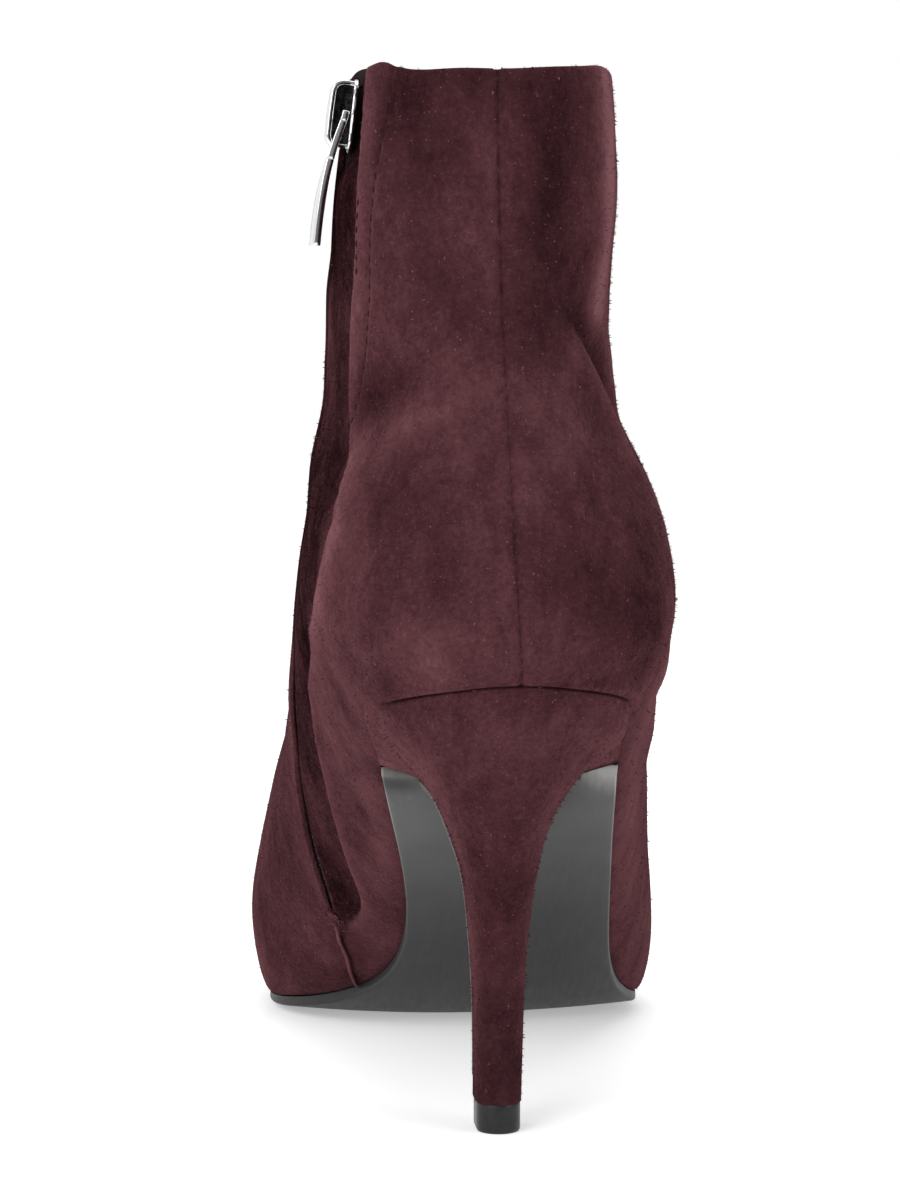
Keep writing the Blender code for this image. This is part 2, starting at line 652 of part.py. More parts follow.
def make_slider(place):
    """The zip's slider: a shield-shaped plate with a long arched crown over the pull's bar."""
    plate_out = 1.05
    plate_in = 1.85
    outline = ((7.1, 0.6), (6.5, 0.82), (4.5, 0.92), (0.0, 0.96), (-3.0, 0.74), (-5.9, 0.6), (-6.5, 0.42))
    half = SLIDER_WIDE / 2
    rows = []
    for height, share in outline:
        wide = half * share
        rows.append([(plate_out, -wide, height), (plate_out, wide, height),
                     (plate_in, wide, height), (plate_in, -wide, height)])
    slider = loop_solid("zip_slider", rows, "chrome", place, SLIDER_LEAN)
    arch = ((1.5, 6.4), (0.0, 6.5), (-1.4, 6.0), (-2.3, 4.7), (-2.7, 2.9), (-2.8, 0.5), (-2.75, -2.1),
            (-2.4, -4.1), (-1.3, -5.2), (0.2, -5.4), (1.5, -5.3))
    bar = bar_points(arch, CROWN_THICK, CROWN_WIDE / 2)
    crown = loop_solid("slider_crown", bar, "chrome", place, SLIDER_LEAN)
    join(slider, crown, "UNION")


def make_pull(place):
    """The pull tab: a slightly bowed plate with a long eye that the crown passes through."""
    bar_high = 0.75
    bar_low = -0.7
    eye_low = -8.2
    rail_inner = 2.1
    cut_through = 4.0
    bow = 0.9
    end_narrow = 0.8
    drops = np.linspace(bar_high, -PULL_LONG, PULL_ROWS)
    line = [(-bow * math.sin(math.pi * max(-drop, 0) / PULL_LONG), drop) for drop in drops]
    rows = bar_points(line, PULL_THICK, PULL_WIDE / 2)
    rows[-1, :, 1] *= end_narrow
    pull = loop_solid("zip_pull", rows, "chrome", place, PULL_LEAN)
    corners = ((-1, -1), (-1, 1), (1, 1), (1, -1))
    hole = [[(x * cut_through, y * rail_inner, z) for x, y in corners] for z in (bar_low, eye_low)]
    eye = loop_solid("pull_eye", hole, "chrome", place, PULL_LEAN)
    join(pull, eye, "DIFFERENCE")


def main():
    for old in list(bpy.data.objects):
        bpy.data.objects.remove(old)
    make_upper()
    make_insole()
    make_heel()
    make_outsole()
    make_zip_tape()
    pivot = pivot_place()
    make_slider(pivot)
    make_pull(pivot)


main()
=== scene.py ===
"""Visual model of the pointed-toe ankle boot: suede upper, covered heel, leather sole and zip.

Lengths are in millimetres, and become metres as each mesh is made. +Y runs to the toe, +X to the outer side
of the foot and +Z up. The sections of the last are those of the solids, read more finely.
"""
import math

import bmesh
import bpy
import numpy as np
from mathutils import Matrix, Vector


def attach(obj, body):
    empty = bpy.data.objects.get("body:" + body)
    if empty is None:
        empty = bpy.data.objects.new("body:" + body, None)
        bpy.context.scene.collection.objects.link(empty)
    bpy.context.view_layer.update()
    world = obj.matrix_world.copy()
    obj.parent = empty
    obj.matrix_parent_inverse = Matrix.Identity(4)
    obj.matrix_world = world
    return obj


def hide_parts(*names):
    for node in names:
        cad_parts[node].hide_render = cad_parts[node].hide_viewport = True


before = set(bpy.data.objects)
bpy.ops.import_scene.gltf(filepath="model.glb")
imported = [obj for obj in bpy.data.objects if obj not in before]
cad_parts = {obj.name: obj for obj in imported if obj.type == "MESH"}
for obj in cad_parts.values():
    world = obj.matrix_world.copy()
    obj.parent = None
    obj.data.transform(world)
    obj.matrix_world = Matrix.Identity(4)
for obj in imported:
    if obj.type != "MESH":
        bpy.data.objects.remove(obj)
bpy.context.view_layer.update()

# Driving sizes, as in the solids
MM = 0.001
GAP = 0.3
HEEL_TIP_Y = 25.0
HEEL_ROUND = 14.0
HEEL_FRONT = 31.0
SPREAD_LONG = 40.0
SEAT_ROLL = 26.0
SOLE_EDGE = 2.0
SOLE_CROWN = 2.1
SOLE_MARGIN = 0.1
FLAP_THICK = 1.5
FLAP_SHORT = 1.3
TOP_PIECE_TALL = 5.3
ZIP_END = 177.0
SLIDER_WIDE = 9.0
SLIDER_AT = 7.8
SLIDER_END = 11.5  # how far down the slit stays open for the slider
SLIDER_LEAN = math.radians(6.4)
PULL_LEAN = math.radians(13.3)
PULL_LONG = 24.5
PULL_WIDE = 5.8

# Sizes that only show
RIM = 1.0  # how far below the collar's top the fold of its edge begins
RIM_ROUND = 0.95
LINING_AT = 2.0
CURL = 0.7  # roundness of the zip's two edges
CURL_STEPS = 5
CURL_END = 5.0  # length over which the zip's edges close at its lower end
SOLE_CURL = 0.8  # roundness of the upper's lower edge
SEAT_START = 3.0  # length over which that edge sets in behind the heel seat
SOLE_LIP = 1.0  # how far the sole's rounded end reaches up to the heel's breast
SEAM_PAST = 0.5  # how far the back seam runs on past the heel's back
ZIP_FADE = 4.0  # length over which the pressed band dies out at the zip's lower end
EVEN_SHARE = 6 / 17  # where the upper's grid is divided past the zip, as a share of its inner side
END_INWARD = 3.4  # how far the zip's lower end is moved inwards, and where that sets in and dies out
INWARD_FROM = 156.0
INWARD_UNTIL = 184.0
INWARD_LONG = 26.0
NAP_HAIRS = 0.6e6  # hairs to a square metre
NAP_SIZE = (0.66, 0.17, 0.66)

# Width of the zip's slit below the slider, along the sections
SLIT = ((18.0, 0.5), (120.0, 0.5), (150.0, 0.8), (166.0, 1.9), (173.0, 1.3), (ZIP_END, 0.0))

COLUMNS = ("back_y", "back_z", "front_y", "front_z", "centre_x", "ridge_x", "sole_med", "sole_lat",
           "wide_med", "wide_lat", "wide_at", "low_full", "top_full", "zip_at")
SECTIONS = (
    ("collar", 10.0, 193.0, 97.0, 196.5, -1.8, -1.0, 0.0, 0.0, 24.4, 23.6, 0.40, 2.7, 2.2, 0.450),
    ("shaft", 12.5, 170.0, 97.8, 175.0, -1.2, -1.0, 0.0, 0.0, 27.4, 24.7, 0.40, 2.6, 2.1, 0.450),
    ("ankle", 14.0, 146.0, 99.3, 155.5, -0.3, 0.0, 0.0, 0.0, 29.0, 22.7, 0.43, 2.4, 2.0, 0.475),
    ("hollow", 9.5, 124.0, 101.5, 145.0, 0.4, 0.0, 0.0, 0.0, 30.6, 24.1, 0.42, 2.3, 2.0, 0.525),
    ("counter", 1.5, 100.5, 104.2, 137.5, 1.0, 0.0, 0.0, 0.0, 34.6, 31.3, 0.41, 2.4, 2.0, 0.585),
    ("heel_back", 1.8, 84.0, 107.0, 131.0, 1.7, 0.5, 23.5, 23.5, 36.2, 33.2, 0.42, 2.4, 2.0, 0.610),
    ("seat_back", 6.2, 82.3, 108.0, 128.9, 1.8, 0.7, 23.5, 22.6, 36.5, 33.3, 0.42, 2.3, 2.0, 0.608),
    ("seat", 28.0, 75.3, 112.0, 121.8, 2.0, 1.0, 24.2, 21.7, 36.8, 33.0, 0.44, 1.7, 2.0, 0.540),
    ("breast", 48.0, 61.5, 117.0, 114.5, 2.6, 1.0, 21.8, 22.2, 37.3, 33.2, 0.46, 1.6, 2.0, 0.450),
    ("waist", 82.0, 36.5, 129.0, 99.0, 6.0, 1.5, 18.8, 22.4, 40.9, 34.6, 0.42, 1.6, 2.0, 0.265),
    ("joint", 116.0, 11.6, 147.0, 80.0, 5.0, 1.5, 22.8, 29.6, 43.6, 39.5, 0.36, 1.7, 1.95, 0.060),
    ("ball", 141.0, 3.9, 168.5, 61.5, 3.0, 0.5, 39.2, 39.4, 44.4, 43.6, 0.27, 1.8, 1.9, 0.060),
    ("toes", 175.0, 3.8, 190.0, 46.5, 0.0, -1.0, 33.5, 34.5, 36.4, 37.0, 0.27, 1.8, 1.9, 0.060),
    ("point", 210.0, 6.6, 213.5, 31.5, -4.0, -4.0, 19.5, 19.5, 21.0, 21.0, 0.30, 1.8, 1.9, 0.060),
    ("tip", 230.0, 9.0, 230.7, 20.0, -6.5, -6.5, 6.8, 6.8, 7.2, 7.2, 0.35, 2.0, 2.0, 0.060),
    ("end", 236.0, 9.9, 236.2, 14.5, -7.0, -7.0, 1.6, 1.6, 1.8, 1.8, 0.40, 2.0, 2.0, 0.060),
)
HEEL_COLUMNS = ("back_y", "back_z", "front_y", "front_z", "centre_x", "wide", "front_wide")
HEEL_RINGS = (
    ("cup", 2.5, 80.3, 41.6, 63.0, 1.3, 20.9, 14.6),
    ("flare", 3.4, 75.6, 39.4, 60.5, 0.4, 16.9, 11.6),
    ("throat", 5.2, 69.5, 37.2, 56.8, 0.0, 12.8, 9.4),
    ("neck", 7.8, 62.2, 35.0, 52.0, -0.1, 9.4, 7.6),
    ("stem", 11.0, 53.5, 33.0, 46.2, 0.1, 7.1, 6.2),
    ("middle", 14.3, 43.5, 31.3, 39.2, 0.1, 5.75, 5.4),
    ("slim", 17.1, 31.5, 30.2, 29.6, 0.1, 4.8, 4.7),
    ("low", 19.2, 18.0, 29.7, 17.7, 0.1, 4.4, 4.35),
    ("foot", 20.4, TOP_PIECE_TALL + GAP, 29.6, TOP_PIECE_TALL + GAP, 0.0, 4.25, 4.25),
)

# The band behind the zip, along the sections: how far behind the zip its stitch line and its folded edge
# run, how deep it lies, how softly it steps down, the ridge beside it with its half-width, and how dark its
# nap is pressed, together with painted shade where the band lies beyond the counter's ridge
BAND_COLUMNS = ("station", "stitch", "fold", "sunk", "soft", "ridge", "ridge_wide", "dark")
BAND = (
    ("collar", 0.0, 33.5, 24.6, 4.4, 1.6, 0.5, 2.0, 0.52),
    ("slider", 11.5, 32.5, 25.2, 4.2, 1.4, 0.5, 2.0, 0.50),
    ("below_slider", 16.5, 31.6, 25.5, 1.7, 1.2, 0.5, 2.0, 0.44),
    ("shaft", 32.0, 30.0, 25.0, 1.1, 1.0, 0.4, 2.0, 0.40),
    ("ankle", 45.0, 30.2, 24.0, 1.1, 1.2, 0.5, 2.4, 0.28),
    ("hollow", 60.0, 29.5, 28.8, 1.3, 2.0, 0.5, 3.2, 0.24),
    ("counter", 78.0, 27.0, 40.2, 1.5, 3.2, 0.6, 4.6, 0.34),
    ("heel", 92.0, 23.5, 37.9, 1.3, 2.6, 0.5, 4.2, 0.33),
    ("seat", 106.0, 19.6, 29.3, 1.0, 1.6, 0.4, 2.8, 0.35),
    ("breast", 122.0, 17.2, 17.2, 0.8, 0.8, 0.35, 1.9, 0.32),
    ("arch", 138.0, 16.1, 16.1, 0.75, 0.7, 0.30, 1.8, 0.25),
    ("low", 156.0, 14.9, 14.9, 0.75, 0.7, 0.30, 1.8, 0.20),
    ("last", 163.5, 14.0, 14.0, 0.75, 0.7, 0.30, 1.8, 0.34),
    ("round", 168.5, 11.2, 11.2, 0.7, 0.8, 0.30, 1.8, 0.36),
    ("tail", 173.0, 6.6, 6.6, 0.6, 0.9, 0.2, 1.8, 0.36),
    ("end", 177.0, 2.4, 2.4, 0.4, 0.9, 0.1, 1.8, 0.30),
)

# Soft creases on the upper, each a line of points (x, y, z) with its height and half-width: the counter's
# stiff upper edge under the slack shaft, the hollows above it, and the waves of the shaft.
CREASES = (
    ("inner_counter_edge", 1.5, 3.4, ((-11.5, -11.0, 132.0), (-17.6, -7.9, 128.6), (-21.9, -6.0, 123.3),
                                      (-25.2, -4.5, 118.8))),
    ("inner_hollow", -1.5, 4.6, ((-15.0, -6.5, 141.0), (-20.5, -3.0, 135.5), (-24.8, 1.0, 130.0),
                                 (-29.0, 5.0, 119.0))),
    ("outer_counter_edge", 1.7, 2.5, ((10.0, -8.0, 146.5), (14.6, -4.6, 140.0), (18.6, 0.2, 133.0),
                                      (21.6, 2.8, 126.5), (24.7, 2.2, 119.5))),
    ("outer_hollow", -1.9, 2.8,
     ((12.4, -6.5, 151.5), (16.6, -1.5, 145.0), (19.8, 3.6, 138.8), (22.0, 6.8, 132.5))),
    ("outer_slack", 0.8, 5.0, ((21.9, 14.0, 147.0), (22.2, 14.3, 140.0), (22.4, 14.5, 137.0))),
    ("outer_quarter", 1.9, 7.0,
     ((29.8, 4.0, 84.0), (31.8, 18.0, 80.0), (34.0, 40.0, 75.0), (36.0, 56.0, 70.0))),
    ("inner_front_ankle", 0.85, 8.0, ((-29.0, 24.0, 157.0), (-29.0, 30.0, 152.0), (-29.2, 32.0, 142.0))),
    ("inner_front_quarter", -1.15, 12.0, ((-36.0, 72.0, 80.0), (-36.0, 78.0, 74.0), (-36.3, 82.0, 71.5),
                                          (-37.0, 90.0, 64.0))),
    ("collar_pucker", -0.55, 1.1, ((-19.1, -9.0, 193.0), (-19.7, -8.3, 186.8), (-20.3, -7.5, 182.0))),
    ("collar_roll", 0.5, 2.6, ((-21.6, -5.5, 193.0), (-22.2, -4.9, 186.0), (-22.8, -4.0, 179.0))),
    ("shaft_wave", 0.5, 6.0, ((-22.0, -4.0, 178.0), (-23.5, -2.0, 163.0), (-23.0, -2.0, 150.0))),
    ("shaft_dip", -0.45, 6.5, ((-13.0, -12.0, 186.0), (-13.5, -11.0, 168.0), (-12.0, -9.5, 152.0))),
    ("outer_shaft_wave", 0.45, 6.0, ((18.0, -3.5, 187.0), (19.0, -3.0, 172.0), (17.5, -4.0, 158.0))),
    ("outer_shaft_dip", -0.4, 6.0, ((9.0, -13.0, 182.0), (9.5, -12.0, 166.0))),
    ("seat_hollow", -0.5, 4.0, ((-25.0, -12.0, 92.0), (-28.0, -2.0, 86.0), (-29.0, 10.0, 80.0))),
    ("arch_dent", -0.7, 5.0, ((-24.0, 36.0, 60.0), (-22.0, 52.0, 48.0))),
)

CREASE_START = 9.0  # length over which a crease sets in

# Patches of nap brushed lighter or darker, and of painted light and shade on the upper, such as a painted rim
# light down the outer shaft's edge and a painted highlight along the inner ridge: how much, over what
# half-width, and along which points
NAP_AND_PAINTED_LIGHT = (
    ("outer_shaft", -0.20, 7.0, ((8.0, -13.0, 178.0), (8.5, -12.5, 165.0), (8.0, -11.0, 148.0))),
    # painted rim light down the outer edge of the shaft
    ("outer_shaft_edge", 0.51, 4.8,
     ((19.6, -2.6, 193.0), (20.4, -1.0, 176.0), (20.0, 2.0, 160.0), (18.8, 1.0, 152.0))),
    ("collar", -0.13, 7.0, ((-16.0, -11.0, 192.0), (-4.0, -15.0, 191.0), (12.0, -12.0, 191.0))),
    ("inner_shaft", -0.02, 8.0, ((-13.0, -11.0, 168.0), (-13.0, -10.0, 140.0))),
    ("heel_middle", 0.24, 8.0, ((-14.0, -21.0, 89.0), (0.0, -23.0, 91.0), (8.0, -22.0, 90.0))),
    ("inner_ankle", 0.17, 9.0, ((-16.0, -8.0, 142.0), (-8.0, -10.0, 135.0))),
    # painted highlight along the inner ridge beside the band
    ("inner_ridge", 0.29, 5.0, ((-26.3, 0.8, 127.0), (-29.6, 2.4, 119.7), (-31.9, 0.3, 108.8),
                                (-33.2, 1.5, 98.5), (-34.0, 12.5, 92.5))),
    ("outer_counter_rim", -0.12, 7.0, ((26.5, -5.0, 114.0), (27.5, -9.5, 104.0), (26.0, -13.5, 95.0))),
    ("collar_fold", -0.12, 6.0, ((-19.0, -9.0, 190.0), (-14.0, -12.0, 180.0))),
    ("counter_middle", 0.09, 7.0, ((-5.0, -20.0, 118.0), (-5.0, -23.0, 104.0))),
    ("outer_ankle", 0.12, 7.0, ((10.0, -11.0, 138.0), (14.0, -11.0, 128.0))),
    ("outer_seat", -0.13, 8.0, ((14.0, -18.0, 92.0), (24.0, -11.0, 92.0))),
    ("inner_toe", -0.12, 15.0, ((-36.0, 88.0, 32.0), (-31.0, 98.0, 14.0))),
    ("inner_arch", 0.11, 7.0, ((-20.5, 30.0, 57.6), (-17.6, 51.0, 42.7))),
    ("outer_arch", 0.14, 8.0,
     ((28.6, 24.5, 67.2), (30.6, 41.0, 55.4), (32.5, 56.0, 43.5), (35.0, 75.0, 30.0))),
    ("outer_counter", -0.08, 9.0, ((13.0, -19.0, 112.0), (14.0, -22.0, 100.0))),
    ("inner_heel", 0.14, 6.0, ((-27.0, -9.0, 98.0), (-27.0, 0.0, 86.0))),
)

# The collar's upper edge: how far it stands above or below the sections' own line at a place
COLLAR_WAVE = (
    ("back", -0.95, 10.0, (-1.0, -16.0)),
    ("outer_corner", 0.8, 7.0, (19.5, -4.0)),
    ("inner_corner", 1.2, 3.6, (-22.2, -5.2)),
    ("inner_dip", -1.0, 7.0, (-15.0, -12.0)),
)
COLLAR_DEEP = 16.0  # how far down the collar its waves die out

# The zip's tape: columns of the upper counted from the zip's edge, with how deep it lies under them, and
# the line of its folded end at the collar
TAPE_ACROSS = ((-9, 1.2), (-4, 1.25), (0, 1.35), (1, 1.35), (6, 1.25), (11, 1.2))
TAPE_END = ((-25.4, 31.0, 193.6), (-24.2, 30.0, 195.2), (-22.5, 27.0, 195.8), (-21.1, 22.0, 195.7))

# The welt below the zip: along the sections, and up from the sole edge
WELT = ((176.6, 15.0), (178.0, 13.6), (180.8, 11.9), (184.0, 8.5), (188.0, 5.4), (193.0, 0.5))
# Tone across the welt from side to side: a painted highlight along its crown and painted shade down its sides
WELT_PAINTED_LIGHT = (-0.3, -0.05, 0.22, 0.38, 0.42, 0.38, 0.28, 0.1, -0.15)  # from side to side

# The slider: heights and shares of its width down the plate, and the crown's line from the plate out and back
SLIDER_PLATE = ((7.1, 0.6), (6.5, 0.82), (4.5, 0.92), (0.0, 0.96), (-3.0, 0.74), (-5.9, 0.6), (-6.5, 0.42))
SLIDER_CROWN = ((1.2, 6.4), (0.0, 6.5), (-1.5, 6.35), (-2.4, 5.6), (-2.7, 3.9), (-2.8, 0.5), (-2.78, -2.7),
                (-2.5, -4.4), (-1.3, -5.2), (0.2, -5.4), (1.2, -5.3))

# The collar's turned-in flap: how far down its rows lie, and how much further in
RIM_FLAP = ((7.0, 0.5), (3.5, 0.3), (1.5, 0.1))

# The lap of the heel's cover on the upper: how far up its rows lie, and how far out
HEEL_LAP = ((4.2, -0.5), (3.4, 0.08), (1.7, 0.2))

# The hard piece under the heel: shares of the heel's foot, and heights
TIP_PROFILE = ((0.80, 5.5), (0.93, 5.3), (0.955, 5.0), (0.955, 0.9), (0.94, 0.35), (0.90, 0.08), (0.84, 0.0))

# The rounded end of the toe: shares of the way in to its middle, and how far ahead
TOE_CAP = ((0.2, 0.3), (0.5, 0.55), (0.8, 0.68), (0.98, 0.7))

# How finely the pieces are divided
LINE_STEPS = 140
SHAFT_ROWS = 100
SEAT_ROWS = 16
FOOT_ROWS = 150
REAR_STEPS = 34
BAND_STEPS = 40
FRONT_STEPS = 54
OUTER_STEPS = 104
SAME_PLACE = 0.01
NO_LENGTH = 0.001
TINY = 1e-9
SHARP = math.radians(50)

# How much closer steps stand at the two ends of a span of the upper
REAR_CLOSE = (0.82, 0.6)
BAND_CLOSE = (0.25, 0.25)
FRONT_CLOSE = (0.7, 0.0)
OUTER_CLOSE = (0.8, 0.0)

# Colours from dark to light, each with its place on a scale from 0 to 1
SUEDE_TONES = (
    (0.0, (0.008, 0.0028, 0.0034)),
    (0.25, (0.0225, 0.0076, 0.0092)),
    (0.5, (0.045, 0.0156, 0.0188)),
    (0.75, (0.082, 0.031, 0.036)),
    (1.0, (0.138, 0.060, 0.068)),
)
SOLE_TONES = (
    (0.0, (0.010, 0.010, 0.0105)),
    (0.4, (0.024, 0.024, 0.0248)),
    (0.7, (0.072, 0.0705, 0.070)),
    (1.0, (0.24, 0.235, 0.23)),
)
FIBRE_COLOUR = (0.14, 0.066, 0.069)
BLOOM_COLOUR = (0.80, 0.36, 0.40)


def column(name, rows=SECTIONS, names=COLUMNS):
    """One column of a table of named rows."""
    return np.array([row[1 + names.index(name)] for row in rows])


def spline(knots, values, at):
    """Natural cubic spline through values at knots, read at one place or several."""
    at = np.asarray(at, float)
    step = np.diff(knots)
    count = len(knots)
    matrix = np.eye(count)
    right = np.zeros(count)
    for i in range(1, count - 1):
        matrix[i, i - 1:i + 2] = step[i - 1], 2 * (step[i - 1] + step[i]), step[i]
        right[i] = 6 * ((values[i + 1] - values[i]) / step[i] - (values[i] - values[i - 1]) / step[i - 1])
    bend = np.linalg.solve(matrix, right)
    i = np.clip(np.searchsorted(knots, at) - 1, 0, count - 2)
    low = at - knots[i]
    high = knots[i + 1] - at
    curve = (bend[i] * high ** 3 + bend[i + 1] * low ** 3) / (6 * step[i])
    start = (values[i] / step[i] - bend[i] * step[i] / 6) * high
    finish = (values[i + 1] / step[i] - bend[i + 1] * step[i] / 6) * low
    return curve + start + finish


def smooth(share):
    """A share from 0 to 1 that sets off and ends gently."""
    share = np.clip(share, 0, 1)
    return share * share * (3 - 2 * share)


def section_stations():
    """Distance of each section from the collar: the mean of its steps along the back and the front."""
    back = np.stack([column("back_y"), column("back_z")], 1)
    front = np.stack([column("front_y"), column("front_z")], 1)
    steps = np.linalg.norm(np.diff(back, axis=0), axis=1) + np.linalg.norm(np.diff(front, axis=0), axis=1)
    return np.concatenate([[0.0], np.cumsum(steps / 2)])


KNOTS = section_stations()
STATION = {row[0]: knot for row, knot in zip(SECTIONS, KNOTS)}
HEEL_BACK = STATION["heel_back"]
HEEL_BREAST = HEEL_BACK + HEEL_FRONT


def seat_opening(station):
    """How far the sole edge has opened at a station: 0 on the shaft, 1 past the round of the heel seat."""
    along = np.clip((station - HEEL_BACK) / HEEL_ROUND, 0, 1)
    return float(np.sqrt(1 - (1 - along) ** 2))


def sole_half(station, side):
    """Half-width of the sole edge at a station: nothing on the shaft, round at the heel seat."""
    first = [row[0] for row in SECTIONS].index("heel_back")
    values = column("sole_" + side)[first:]
    half = spline(KNOTS[first:], values, max(station, HEEL_BACK))
    return float(half * seat_opening(station))


def section(station):
    """All sizes of the last's section at a station."""
    sizes = {name: float(spline(KNOTS, column(name), station)) for name in COLUMNS}
    sizes["back_y"] -= HEEL_TIP_Y
    sizes["front_y"] -= HEEL_TIP_Y
    sizes["roll"] = float(smooth((station - HEEL_BACK) / SEAT_ROLL))
    sizes["sole_med"] = sole_half(station, "med")
    sizes["sole_lat"] = sole_half(station, "lat")
    return sizes


def quarter(fullness, start=0.0):
    """A superellipse quarter from (0, 0), level there, to (1, 1), upright there, cut short at start."""
    turn = np.linspace(math.asin(start ** (fullness / 2)), math.pi / 2, LINE_STEPS)
    return np.sin(turn) ** (2 / fullness), 1 - np.cos(turn) ** (2 / fullness)


def low_line(sizes, side):
    """The lower part of a section's side, from sole edge to widest place, as half-widths and shares."""
    sole = sizes["sole_" + side]
    wide = sizes["wide_" + side]
    across, up = quarter(sizes["low_full"])
    rolled = np.stack([sole + (wide - sole) * across, up], 1)
    across, up = quarter(sizes["low_full"], sole / wide)
    upright = np.stack([wide * across, (up - up[0]) / (1 - up[0])], 1)
    return (upright + (rolled - upright) * sizes["roll"]) * (1, sizes["wide_at"])


def side_line(sizes, side):
    """Points of one side of a section from its lower end to the ridge, with their share of the way up."""
    across, up = quarter(sizes["top_full"])
    top = np.stack([sizes["wide_" + side] * across, 1 - (1 - sizes["wide_at"]) * up], 1)[::-1]
    half, share = np.concatenate([low_line(sizes, side), top[1:]]).T
    sign = -1 if side == "med" else 1
    x = sign * half + sizes["centre_x"] + (sizes["ridge_x"] - sizes["centre_x"]) * share
    y = sizes["back_y"] + (sizes["front_y"] - sizes["back_y"]) * share
    z = sizes["back_z"] + (sizes["front_z"] - sizes["back_z"]) * share
    return np.stack([x, y, z], 1), share


def lengths(points):
    """Distance along a line at each of its points."""
    return np.concatenate([[0.0], np.cumsum(np.linalg.norm(np.diff(points, axis=0), axis=1))])


def walk(points, places):
    """Points at given distances along a line."""
    run = lengths(points)
    return np.stack([np.interp(places, run, points[:, axis]) for axis in range(3)], 1)


def slit_width(station):
    """Width of the zip's slit: open for the slider, all but closed below, gaping a little before its end."""
    slider_room = SLIDER_WIDE + 2 * GAP
    widths = ((0.0, slider_room), (SLIDER_END, slider_room)) + SLIT
    return float(np.interp(station, *np.array(widths).T))


def zip_place(station):
    """The inner side's line at a station, and the zip's distance along it."""
    sizes = section(station)
    points, share = side_line(sizes, "med")
    run = lengths(points)
    on_zip = float(np.interp(sizes["zip_at"], share, run))
    even = run[-1] * EVEN_SHARE
    past = np.clip((station - ZIP_END) / (STATION["point"] - ZIP_END), 0, 1)
    setting_in = smooth((station - INWARD_FROM) / INWARD_LONG)
    inward = END_INWARD * setting_in * (1 - smooth((station - INWARD_UNTIL) / INWARD_LONG))
    return points, on_zip + (even - on_zip) * past - float(inward)


def band_size(name, station):
    """A size of the pressed band behind the zip at a station."""
    return float(spline(column("station", BAND, BAND_COLUMNS), column(name, BAND, BAND_COLUMNS), station))


def eased(low, high, steps, near_low, near_high):
    """Places from low to high, closer together near an end by the given share."""
    t = np.linspace(0, 1, steps + 1)
    both = min(near_low, near_high)
    bias = near_low - near_high
    t = t - both * np.sin(2 * math.pi * t) / (2 * math.pi)
    if bias > 0:
        t = t - bias * np.sin(math.pi * t) / math.pi
    else:
        t = t + abs(bias) * (np.sin(math.pi * (1 - t)) / math.pi)
    return low + (high - low) * np.clip(t, 0, 1)


def upper_ring(station):
    """One ring of the upper: its points, and for each its distance from the back seam and behind the zip."""
    least_share = 0.3
    past_share = 0.5
    past_long = 20.0
    far = 1000.0
    points, place = zip_place(station)
    half_slit = slit_width(station) / 2
    edge = place - half_slit
    sole_med = sole_half(station, "med")
    sole_lat = sole_half(station, "lat")
    spread = float(smooth((station - HEEL_BACK - HEEL_ROUND) / SPREAD_LONG))
    past = float(smooth((station - ZIP_END) / past_long))
    stitch = max(place - band_size("stitch", min(station, ZIP_END)), least_share * edge)
    stitch = stitch + (past_share * edge - stitch) * past
    rear = np.concatenate([eased(-sole_med * (1 - spread), stitch, REAR_STEPS, *REAR_CLOSE),
                           eased(stitch, edge, BAND_STEPS, *BAND_CLOSE)[1:]])
    front = eased(place + half_slit, lengths(points)[-1], FRONT_STEPS, *FRONT_CLOSE)
    med = np.concatenate([np.maximum(rear, 0), front])
    outer, _ = side_line(section(station), "lat")
    lat = eased(-sole_lat * (1 - spread), lengths(outer)[-1], OUTER_STEPS, *OUTER_CLOSE)
    lat = np.maximum(lat, 0)[::-1][1:]
    ring = np.concatenate([walk(points, med), walk(outer, lat)])
    from_seam = np.concatenate([med + sole_med, lat + sole_lat])
    behind_zip = np.concatenate([place - med[:len(rear)], place + half_slit - med[len(rear):],
                                 np.full(len(lat), -far)])
    from_stitch = np.concatenate([rear - stitch, np.full(len(front) + len(lat), far)])
    return ring, from_seam, behind_zip, from_stitch


def upper_stations():
    """Stations of the upper's rings, closer together round the heel seat."""
    shaft = np.linspace(RIM, HEEL_BACK, SHAFT_ROWS)
    turn = np.linspace(0, math.pi / 2, SEAT_ROWS + 1)[1:]
    seat = HEEL_BACK + HEEL_ROUND * (1 - np.cos(turn))
    foot = np.linspace(seat[-1], KNOTS[-1], FOOT_ROWS + 1)[1:]
    return np.concatenate([shaft, seat, foot])


EDGE = REAR_STEPS + BAND_STEPS


def normals(grid):
    """Unit normals of a grid of points, pointing out of the boot."""
    along = np.gradient(grid, axis=0)
    across = np.gradient(grid, axis=1)
    normal = np.cross(across, along)
    size = np.linalg.norm(normal, axis=2, keepdims=True)
    return normal / np.maximum(size, TINY)


def upper_normals(grid, stations):
    """Normals of the upper's grid, taken apart at the zip and joined where two edges meet."""
    out = np.concatenate([normals(grid[:, :EDGE + 1]), normals(grid[:, EDGE + 1:])], axis=1)
    for row, station in enumerate(stations):
        pairs = [(0, -1)] if station <= HEEL_BACK else []
        pairs += [(EDGE, EDGE + 1)] if station >= ZIP_END else []
        for first, second in pairs:
            mean = out[row, first] + out[row, second]
            out[row, first] = out[row, second] = mean / np.linalg.norm(mean)
        for ring, normal in ((grid[row], out[row]), (grid[row, ::-1], out[row, ::-1])):
            gathered = int(np.sum(np.linalg.norm(ring[:EDGE] - ring[0], axis=1) < SAME_PLACE))
            normal[:gathered] = normal[gathered - 1]
    return out


